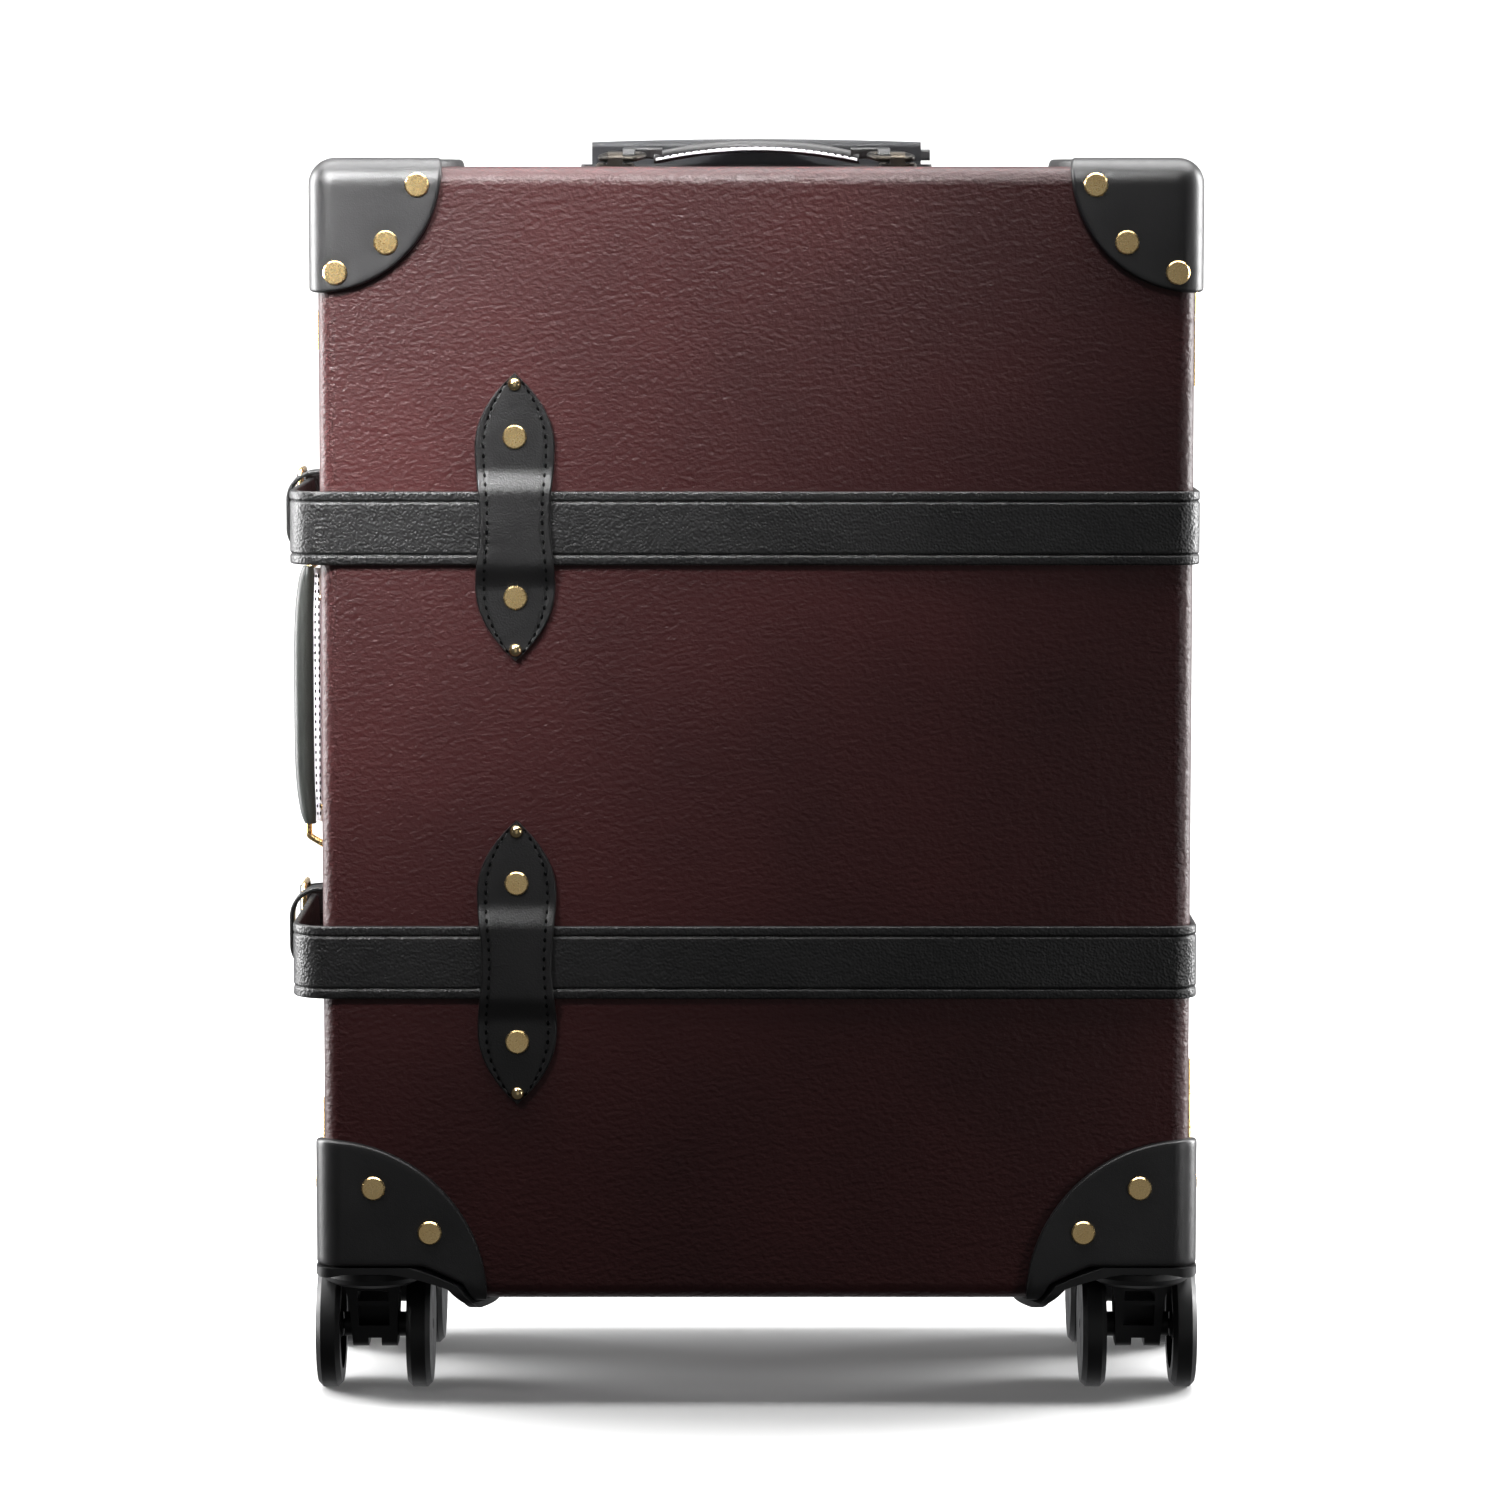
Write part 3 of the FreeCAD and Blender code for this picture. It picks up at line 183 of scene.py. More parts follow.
def loft(sections: Array, ring: bool = False) -> Surface:
    """A closed skin through a row of closed sections.

    Point (i, j) of the grid is point j of section i. Open rows get a flat face at each end.

    Args:
        sections: Array of shape (rows, columns, 3).
        ring: Whether the rows close on themselves.

    Returns:
        The skin.
    """
    rows, cols = sections.shape[:2]
    faces = grid_faces(rows, cols, ring)
    if not ring:
        last = (rows - 1) * cols
        faces += [tuple(range(cols))[::-1], tuple(range(last, last + cols))]
    return Surface(sections.reshape(-1, 3), faces)


def turned(profile: Sequence[tuple[float, float]], count: int) -> Surface:
    """A surface of revolution about Z: a point is (r cos a, r sin a, h) for each profile pair.

    Args:
        profile: (radius, height) pairs from one end face to the other.
        count: Points round the axis.

    Returns:
        The turned surface, closed with flat end faces.
    """
    radius, height = np.array(profile, float).T[..., None]
    angle = full_turn(count)
    return loft(point_grid(radius * np.cos(angle), radius * np.sin(angle), height))


def rounded_path(corners: Sequence[Sequence[float]], radii: Sequence[float], closed: bool,
                 turn: float = 9.0) -> Array:
    """A flat path of straight runs joined by tangent arcs.

    An arc of radius r at a corner turns about a centre on the bisector, r / sin(half angle) from the corner.

    Args:
        corners: Corner points in the plane.
        radii: Arc radius at each corner.
        closed: Whether the path returns to its start.
        turn: Degrees between points on an arc.

    Returns:
        Points of shape (count, 2).
    """
    points = np.array(corners, float)
    stretches = []
    for i, radius in enumerate(radii):
        corner = points[i]
        if radius <= 0.0 or (not closed and i in (0, len(points) - 1)):
            stretches.append(corner[None])
            continue
        before, after = unit(points[i - 1] - corner), unit(points[(i + 1) % len(points)] - corner)
        bisector, side = unit(before + after), unit(before - after)
        half = math.acos(float(np.clip(before @ after, -1.0, 1.0))) / 2.0
        sweep = math.pi - 2.0 * half
        count = max(3, int(math.degrees(sweep) / turn) + 2)
        angle = np.linspace(-sweep / 2.0, sweep / 2.0, count)[:, None]
        centre = corner + bisector * radius / math.sin(half)
        stretches.append(centre - bisector * radius * np.cos(angle) - side * radius * np.sin(angle))
    return np.vstack(stretches)


def path_marks(path: Array) -> Array:
    """Distance of each of a path's points from its start."""
    return np.append(0.0, np.cumsum(np.linalg.norm(np.diff(path, axis=0), axis=1)))


def spread_along(path: Array, places: Array) -> tuple[Array, Array]:
    """Points and unit directions at given distances along a path of straight pieces.

    Args:
        path: Points of shape (count, dimensions).
        places: Distances from the start.

    Returns:
        Points and directions at those distances.
    """
    steps, marks = np.diff(path, axis=0), path_marks(path)
    points = np.stack([np.interp(places, marks, axis) for axis in path.T], axis=-1)
    index = np.clip(np.searchsorted(marks, places, side="right") - 1, 0, len(steps) - 1)
    return points, unit(steps[index])


def path_frames(path: Array, closed: bool = False) -> Array:
    """Unit directions along a path, each the mean of the steps before and after its point.

    Args:
        path: Points of shape (count, dimensions).
        closed: Whether the path returns to its start.

    Returns:
        Unit vectors at the points.
    """
    steps = np.diff(path, axis=0)
    last = path[:1] - path[-1:] if closed else steps[-1:]
    first = last if closed else steps[:1]
    return unit(unit(np.vstack([steps, last])) + unit(np.vstack([first, steps])))


def tube(path: Array, radius: float, count: int, normal: Array) -> Surface:
    """A round tube on a closed flat path: p + r (cos a n + sin a b), where b crosses the path and n.

    Args:
        path: Points of shape (rows, 3) in a plane.
        radius: The tube's radius.
        count: Points round it.
        normal: The plane's unit normal n.

    Returns:
        The tube's skin.
    """
    across = np.cross(path_frames(path, True), normal)[:, None]
    angle = full_turn(count)[:, None]
    return loft(path[:, None] + radius * (np.cos(angle) * normal + np.sin(angle) * across), True)


def copies(shape: Surface, origins: Array, axes: Array) -> Surface:
    """One copy of a small shape for each place: copy k is origin k plus the shape's points times its axes.

    Args:
        shape: The shape to repeat.
        origins: Places of shape (count, 3).
        axes: Rows hold each copy's X, Y and Z directions, of shape (count, 3, 3).

    Returns:
        All copies as one surface.
    """
    points = np.einsum("pi,kij->kpj", shape.points, axes) + origins[:, None]
    starts = np.arange(len(origins)) * len(shape.points)
    faces = [tuple(int(start) + index for index in face) for start in starts for face in shape.faces]
    return Surface(points.reshape(-1, 3), faces)


def stitch_shape(length: float, radius: float) -> Surface:
    """One thread stitch: a round bar whose radius follows a half ellipse and whose ends dip down by t^2.

    Args:
        length: Length along X.
        radius: Thread radius.

    Returns:
        The stitch about its own middle.
    """
    t = np.linspace(-1.0, 1.0, 7)[:, None]
    angle = full_turn(6)
    swell = radius * np.sqrt(1.0 - 0.94 * t ** 2)
    height = swell * np.sin(angle) - 0.9 * radius * t ** 2
    return loft(point_grid(t * length / 2.0, swell * np.cos(angle), height))


def stitch_row(path: Array, normal: Array, pitch: float, radius: float) -> Surface:
    """Stitches at an even pitch along a line on a surface.

    Args:
        path: Points of shape (count, 3) on the surface.
        normal: The surface's unit normal.
        pitch: Distance from stitch to stitch.
        radius: Thread radius.

    Returns:
        All stitches of the row.
    """
    length = path_marks(path)[-1]
    count = int(length / pitch)
    points, along = spread_along(path, (np.arange(count) + 0.5) * length / count)
    across = unit(np.cross(normal, along))
    axes = np.stack([along, across, np.cross(along, across)], axis=1)
    return copies(stitch_shape(pitch * STITCH_SHARE, radius), points, axes)


def shade_smooth(mesh: bpy.types.Mesh) -> None:
    """Shade all of a mesh's faces smooth."""
    mesh.polygons.foreach_set("use_smooth", np.ones(len(mesh.polygons), bool))


def add_piece(name: str, surface: Surface, finish: "Finish", body: Body, slot: Slot,
              stands_for: Sequence[str] = ()) -> bpy.types.Object:
    """Put a surface into the scene as a smooth, dressed piece that rides on a body.

    Args:
        name: The piece's name.
        surface: Its shape in millimetres.
        finish: Its material.
        body: The body that it moves with.
        slot: The record's slot that it belongs to; not used.
        stands_for: CAD nodes that it replaces.

    Returns:
        The new object.
    """
    mesh = bpy.data.meshes.new(name)
    mesh.from_pydata((surface.points * METRES_PER_MM).tolist(), [], surface.faces)
    grid = bmesh.new()
    grid.from_mesh(mesh)
    bmesh.ops.remove_doubles(grid, verts=grid.verts, dist=MERGE_GAP)
    bmesh.ops.dissolve_degenerate(grid, edges=grid.edges, dist=THIN_GAP)
    bmesh.ops.recalc_face_normals(grid, faces=grid.faces)
    grid.to_mesh(mesh)
    grid.free()
    shade_smooth(mesh)
    mesh.set_sharp_from_angle(angle=SHARP_ANGLE)
    mesh.materials.append(finish.material())
    piece = bpy.data.objects.new(name, mesh)
    bpy.context.scene.collection.objects.link(piece)
    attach(piece, body.value)
    if stands_for:
        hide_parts(*stands_for)
    LOG.info("%s: %d faces on %s", name, len(mesh.polygons), body.value)
    return piece


# Finishes


class ShaderSheet:
    """A material's node tree, with short calls for the patterns used here."""

    def __init__(self, name: str) -> None:
        """Start a material with its principled shader.

        Args:
            name: The material's name.
        """
        self.material = bpy.data.materials.new(name)
        self.material.use_nodes = True
        self.tree = self.material.node_tree
        self.shader = self.tree.nodes["Principled BSDF"]
        self.where = self.tree.nodes.new("ShaderNodeTexCoord").outputs["Object"]

    def set(self, **values: object) -> None:
        """Set the shader's own sockets.

        Args:
            values: The sockets' names, in lower case with underscores, and their values.
        """
        names = {socket.name.lower().replace(" ", "_"): socket for socket in self.shader.inputs}
        for name, value in values.items():
            names[name].default_value = value

    def link(self, output: Socket, socket: str) -> None:
        """Feed one of the shader's sockets."""
        self.tree.links.new(output, self.shader.inputs[socket])

    def node(self, kind: str, inputs: dict, **settings: object) -> bpy.types.Node:
        """Add a node.

        Args:
            kind: Blender's node type.
            inputs: Socket name or index to a value or an output.
            settings: The node's own properties.

        Returns:
            The node.
        """
        made = self.tree.nodes.new(kind)
        for name, value in settings.items():
            setattr(made, name, value)
        for key, value in inputs.items():
            if isinstance(value, Socket):
                self.tree.links.new(value, made.inputs[key])
            else:
                made.inputs[key].default_value = value
        return made

    def stretched(self, scale: tuple[float, float, float], tilt: float = 0.0) -> Socket:
        """Object coordinates scaled along each axis and turned about Y by an angle in degrees."""
        inputs = {"Vector": self.where, "Scale": scale, "Rotation": (0.0, math.radians(tilt), 0.0)}
        return self.node("ShaderNodeMapping", inputs).outputs[0]

    def noise(self, scale: float, detail: float = 4.0, rough: float = 0.5,
              vector: Socket | None = None) -> Socket:
        """Cloudy noise with a number of features per metre."""
        inputs = {"Vector": vector or self.where, "Scale": scale, "Detail": detail, "Roughness": rough}
        return self.node("ShaderNodeTexNoise", inputs).outputs["Fac"]

    def cells(self, scale: float, vector: Socket | None = None) -> Socket:
        """Distance to the nearest of scattered cell points."""
        inputs = {"Vector": vector or self.where, "Scale": scale}
        return self.node("ShaderNodeTexVoronoi", inputs, feature="SMOOTH_F1").outputs["Distance"]

    def ramp(self, value: Socket, low: float, high: float, start: float = 0.0, end: float = 1.0) -> Socket:
        """A clamped straight-line remap of a value."""
        inputs = {0: value, 1: low, 2: high, 3: start, 4: end}
        return self.node("ShaderNodeMapRange", inputs, clamp=True).outputs[0]

    def math(self, kind: str, first: Socket, second: Socket) -> Socket:
        """Two numbers put together."""
        return self.node("ShaderNodeMath", {0: first, 1: second}, operation=kind).outputs[0]

    def roughen(self, value: Socket, low: float, high: float, gloss: tuple[float, float]) -> None:
        """Let the roughness run through a range as a value runs from low to high."""
        self.link(self.ramp(value, low, high, *gloss), "Roughness")

    def relief(self, *layers: tuple[Socket, float, float]) -> None:
        """Stack bumps into the shader's normal.

        Args:
            layers: Each layer's height, strength and depth in metres.
        """
        normal = {}
        for height, strength, depth in layers:
            inputs = {"Height": height, "Strength": strength, "Distance": depth, **normal}
            normal = {"Normal": self.node("ShaderNodeBump", inputs).outputs[0]}
        self.link(normal["Normal"], "Normal")


@dataclass(frozen=True)
class Finish:
    """A material of two tones that is made once and then shared."""

    name: str
    deep: tuple
    light: tuple

    def material(self) -> bpy.types.Material:
        """The Blender material of this finish, made at its first use.

        Returns:
            The material.
        """
        found = bpy.data.materials.get(self.name)
        if found:
            return found
        sheet = ShaderSheet(self.name)
        self.dress(sheet)
        return sheet.material

    def tint(self, sheet: ShaderSheet, factor: Socket) -> None:
        """Colour the shader between the two tones by a factor."""
        inputs = {0: factor, 6: (*self.deep, 1.0), 7: (*self.light, 1.0)}
        sheet.link(sheet.node("ShaderNodeMix", inputs, data_type="RGBA").outputs[2], "Base Color")

    def dress(self, sheet: ShaderSheet) -> None:
        """Lay the finish's patterns on a fresh sheet."""
        raise NotImplementedError


@dataclass(frozen=True)
class Fibreboard(Finish):
    """Calendered vulcanised fibre: a wrinkled pebble grain under a satin lacquer."""

    grain: float = 400.0

    def dress(self, sheet: ShaderSheet) -> None:
        """Mottled oxblood, wrinkles drawn out sideways, and a fine tooth.

        Args:
            sheet: The fresh sheet of this finish.
        """
        flat = sheet.stretched((0.78, 1.0, 1.1), 14.0)
        wrinkles = sheet.noise(self.grain, 3.0, 0.55, flat)
        pebbles = sheet.cells(self.grain * 1.5, flat)
        tooth = sheet.noise(self.grain * 5.0, 2.0)
        self.tint(sheet, sheet.ramp(sheet.noise(9.0, 3.0), 0.3, 0.7))
        sheet.roughen(wrinkles, 0.25, 0.75, (0.40, 0.50))
        sheet.set(specular_ior_level=0.36)
        folds = sheet.ramp(wrinkles, 0.3, 0.72)
        sheet.relief((folds, 0.36, 0.0007), (pebbles, 0.26, 0.0005), (tooth, 0.09, 0.0003))


@dataclass(frozen=True)
class Leather(Finish):
    """Dyed hide with a fine grain, faint creases and worn lights."""

    deep: tuple = (0.0034, 0.0033, 0.0035)
    light: tuple = (0.0080, 0.0077, 0.0080)
    gloss: tuple = (0.36, 0.50)
    grain: float = 1300.0
    depth: float = 0.0003
    shine: float = 0.45

    def dress(self, sheet: ShaderSheet) -> None:
        """Cell grain, soft creases and a colour that lightens in patches.

        Args:
            sheet: The fresh sheet of this finish.
        """
        grain, creases = sheet.cells(self.grain), sheet.noise(260.0, 4.0, 0.6)
        self.tint(sheet, sheet.ramp(sheet.noise(28.0, 3.0), 0.35, 0.72))
        sheet.roughen(creases, 0.3, 0.7, self.gloss)
        sheet.set(specular_ior_level=self.shine)
        sheet.relief((creases, 0.14, 0.0006), (grain, 0.35, self.depth))


@dataclass(frozen=True)
class Metal(Finish):
    """A metal with fine wear marks."""

    deep: tuple = (0.92, 0.68, 0.33)
    light: tuple = (0.86, 0.61, 0.28)
    gloss: tuple = (0.25, 0.29)
    brushed: float = 0.0

    def dress(self, sheet: ShaderSheet) -> None:
        """Patchy tone, a roughness that varies, and hairline scratches.

        Args:
            sheet: The fresh sheet of this finish.
        """
        lines = sheet.noise(900.0, 2.0, 0.5, sheet.stretched((1.0, 1.0, 1.0 + self.brushed)))
        self.tint(sheet, sheet.ramp(sheet.noise(110.0, 2.0), 0.35, 0.7))
        sheet.roughen(lines, 0.3, 0.7, self.gloss)
        sheet.set(metallic=1.0)
        sheet.relief((lines, 0.006, 0.00001))


@dataclass(frozen=True)
class MouldedPlastic(Finish):
    """Moulded nylon with a spark-eroded grain."""

    deep: tuple = (0.0058, 0.0058, 0.0062)
    light: tuple = (0.0105, 0.0105, 0.0112)
    gloss: tuple = (0.42, 0.58)
    shine: float = 0.5

    def dress(self, sheet: ShaderSheet) -> None:
        """Fine even grain and a slight cloudiness.

        Args:
            sheet: The fresh sheet of this finish.
        """
        grain = sheet.noise(2400.0, 2.0)
        self.tint(sheet, sheet.ramp(sheet.noise(60.0, 3.0), 0.35, 0.7))
        sheet.roughen(grain, 0.3, 0.7, self.gloss)
        sheet.set(specular_ior_level=self.shine)
        sheet.relief((grain, 0.14, 0.00015))


@dataclass(frozen=True)
class Cloth(Finish):
    """Plain woven lining: two crossing sets of threads."""

    threads: float = 620.0

    def dress(self, sheet: ShaderSheet) -> None:
        """Crossed thread waves with slubs.

        Args:
            sheet: The fresh sheet of this finish.
        """
        inputs = {"Vector": sheet.where, "Scale": self.threads, "Distortion": 1.2}
        bands = [sheet.node("ShaderNodeTexWave", inputs, bands_direction=axis).outputs["Fac"]
                 for axis in ("X", "Z", "Y")]
        crossings = [sheet.math("MULTIPLY", first, second) for first, second in zip(bands, bands[1:])]
        weave = sheet.math("MAXIMUM", *crossings)
        self.tint(sheet, sheet.ramp(sheet.math("ADD", weave, sheet.noise(140.0, 4.0, 0.6)), 0.3, 1.2))
        sheet.set(roughness=0.85, sheen_weight=0.25)
        sheet.relief((weave, 0.35, 0.0003))


@dataclass(frozen=True)
class PressedBoard(Finish):
    """Brown board with fibres."""

    def dress(self, sheet: ShaderSheet) -> None:
        """Long fibres over a mottled ground.

        Args:
            sheet: The fresh sheet of this finish.
        """
        fibres = sheet.noise(240.0, 5.0, 0.65, sheet.stretched((0.35, 1.0, 1.6)))
        self.tint(sheet, sheet.ramp(fibres, 0.3, 0.7))
        sheet.set(roughness=0.8)
        sheet.relief((fibres, 0.2, 0.0003))


@dataclass(frozen=True)
class Rubber(Finish):
    """Wheel tread and hub: satin polyurethane with scuffs."""

    def dress(self, sheet: ShaderSheet) -> None:
        """Dull black with dusty scuffs.

        Args:
            sheet: The fresh sheet of this finish.
        """
        scuffs, grain = sheet.noise(95.0, 5.0, 0.65), sheet.noise(1900.0, 2.0)
        self.tint(sheet, sheet.ramp(scuffs, 0.45, 0.8))
        sheet.roughen(scuffs, 0.35, 0.75, (0.40, 0.62))
        sheet.relief((grain, 0.10, 0.00012))


@dataclass(frozen=True)
class Thread(Finish):
    """Waxed twisted thread."""

    def dress(self, sheet: ShaderSheet) -> None:
        """A fine twist of light and dark.

        Args:
            sheet: The fresh sheet of this finish.
        """
        twist = sheet.noise(2600.0, 1.0)
        self.tint(sheet, sheet.ramp(twist, 0.4, 0.6))
        sheet.set(roughness=0.85, specular_ior_level=0.03)
        sheet.relief((twist, 0.3, 0.0002))


@dataclass(frozen=True)
class Paper(Finish):
    """Matt studio paper."""

    def dress(self, sheet: ShaderSheet) -> None:
        """A barely clouded white."""
        self.tint(sheet, sheet.noise(3.0, 2.0))
        sheet.set(roughness=0.7, emission_color=(1.0, 1.0, 1.0, 1.0), emission_strength=0.08)


FIBREBOARD = Fibreboard("oxblood_fibreboard_finish", (0.0225, 0.0030, 0.0033), (0.0370, 0.0058, 0.0061))
BRIDLE_LEATHER = Leather("black_bridle_leather")
CAP_LEATHER = Leather("smooth_corner_leather", (0.0095, 0.0092, 0.0097), (0.0165, 0.0160, 0.0165),
                      gloss=(0.36, 0.46), grain=2000.0, depth=0.00012, shine=0.55)
BELT_LEATHER = Leather("grained_belt_leather", grain=900.0, depth=0.0010, shine=0.5)
HANDLE_LEATHER = Leather("grey_handle_leather", (0.013, 0.0145, 0.013), (0.026, 0.028, 0.025))
FIN_LEATHER = Leather("pale_fin_leather", (0.46, 0.44, 0.47), (0.62, 0.60, 0.63), gloss=(0.5, 0.62))
BRASS = Metal("polished_brass")
BRASS_NAIL = Metal("bright_brass_nail", (0.94, 0.74, 0.42), (0.86, 0.64, 0.32), gloss=(0.16, 0.24))
LACQUER = Metal("black_lacquered_brass", (0.020, 0.019, 0.018), (0.035, 0.030, 0.024), gloss=(0.30, 0.45))
ALUMINIUM = Metal("satin_aluminium_tube", (0.72, 0.73, 0.75), (0.62, 0.63, 0.65), gloss=(0.26, 0.36),
                  brushed=6.0)
RIM_METAL = Metal("rim_aluminium", (0.66, 0.66, 0.67), (0.56, 0.56, 0.57), gloss=(0.30, 0.42), brushed=3.0)
NYLON = MouldedPlastic("black_nylon")
GRIP_PLASTIC = MouldedPlastic("charcoal_grip_plastic", (0.0080, 0.0084, 0.0100), (0.0120, 0.0125, 0.0145),
                              gloss=(0.40, 0.54), shine=0.25)
LINING = Cloth("woven_lining", (0.30, 0.235, 0.155), (0.46, 0.375, 0.265))
BOARD = PressedBoard("pressed_board", (0.16, 0.105, 0.062), (0.27, 0.19, 0.12))
TREAD = Rubber("wheel_polyurethane", (0.0062, 0.0062, 0.0066), (0.0150, 0.0150, 0.0156))
BLACK_THREAD = Thread("black_waxed_thread", (0.0010, 0.0010, 0.0011), (0.0026, 0.0026, 0.0028))
SWEEP_PAPER = Paper("studio_paper", (0.59, 0.59, 0.59), (0.61, 0.61, 0.61))


# Case body and corner leathers


@dataclass(frozen=True)
class CaseSizes:
    """The case body as the frame's boxes give it, with the seats that the boxes don't hold."""

    half_width: float
    half_depth: float
    bottom: float
    top: float
    belt_levels: tuple[float, float]
    belt_width: float
    belt_thick: float
    edge: float = 8.0
    seat: float = 0.1

    @classmethod
    def read(cls) -> "CaseSizes":
        """Take the sizes from the frame.

        Returns:
            The sizes in millimetres.
        """
        low, high = node_box("base_shell")
        belts = [node_box(f"strap_{name}_front") for name in ("upper", "lower")]
        levels = tuple(float(belt[0][2] + belt[1][2]) / 2.0 for belt in belts)
        width = float(belts[0][1][2] - belts[0][0][2])
        thick = float(belts[0][1][0] - high[0]) - cls.seat
        return cls(float(high[0]), float(high[1]), float(low[2]), float(high[2]), levels, width, thick)


@dataclass(frozen=True)
class CaseCorner:
    """One corner of the case, with places given as distances inwards: across, deep and along the height."""

    sizes: CaseSizes
    right: int
    side: Side
    top: bool

    def wrap(self, inward: Array, lift: Array) -> tuple[Array, Array]:
        """Lay points over the corner's rounded edges.

        The sharp point p is drawn in to the core max(p, R). The normal runs from the core to p, and the place
        is core + (R + lift) times the normal.

        Args:
            inward: Points on the sharp corner's faces.
            lift: Height over the rounded faces.

        Returns:
            World points and unit normals.
        """
        core = np.maximum(inward, self.sizes.edge)
        normal = unit(inward - core)
        local = core + (self.sizes.edge + lift)[..., None] * normal
        up = self.sizes.top if self.top else self.sizes.bottom
        signs = np.array([-self.right, -self.side.value, -1.0 if self.top else 1.0])
        sharp = np.array([self.right * self.sizes.half_width, self.side.value * self.sizes.half_depth, up])
        return sharp + signs * local, signs * normal


@dataclass(frozen=True)
class CasterPocket:
    """The dome that a caster turns in, as a height over the case's bottom.

    The steps are (distance in from the rim, height) pairs of the dome's profile, from its middle outwards.
    """

    inset_across: float
    inset_deep: float
    radius: float
    crown: ClassVar[float] = 23.0
    steps: tuple = ((0.0, 15.65), (18.0, 15.65), (4.5, 7.3), (0.0, -1.0))

    @classmethod
    def at(cls, corner: CaseCorner) -> "CasterPocket":
        """Read the pocket of a corner from its fork's and its housing's boxes.

        Args:
            corner: The corner over the caster.

        Returns:
            The pocket.
        """
        face, sizes = corner.side.end, corner.sizes
        fork_low, fork_high = node_box(f"caster_fork_{face}_{'left' if corner.right < 0 else 'right'}")
        housing_low, housing_high = node_box(f"{face}_caster_housings")
        across = sizes.half_width - abs(fork_low[0] + fork_high[0]) / 2.0
        deep = sizes.half_depth - max(abs(fork_low[1]), abs(fork_high[1])) + cls.crown
        inner = min(abs(housing_low[1]), abs(housing_high[1]))
        return cls(float(across), float(deep), float(sizes.half_depth - deep - inner))

    def rise(self, across: Array, deep: Array) -> Array:
        """Height of the dome over a place: straight pieces between the steps, read by distance to the axis.

        Args:
            across: Distance in from the side.
            deep: Distance in from the face.

        Returns:
            Heights over the case's bottom.
        """
        gap = np.hypot(across - self.inset_across, deep - self.inset_deep)
        places = [0.0] + [self.radius - step for step, _ in self.steps[1:]]
        return np.interp(gap, places, [height for _, height in self.steps])


@dataclass(frozen=True)
class RivetSpot:
    """Where a fixing sits, which way it faces and what carries it."""

    origin: Array
    normal: Array
    body: Body


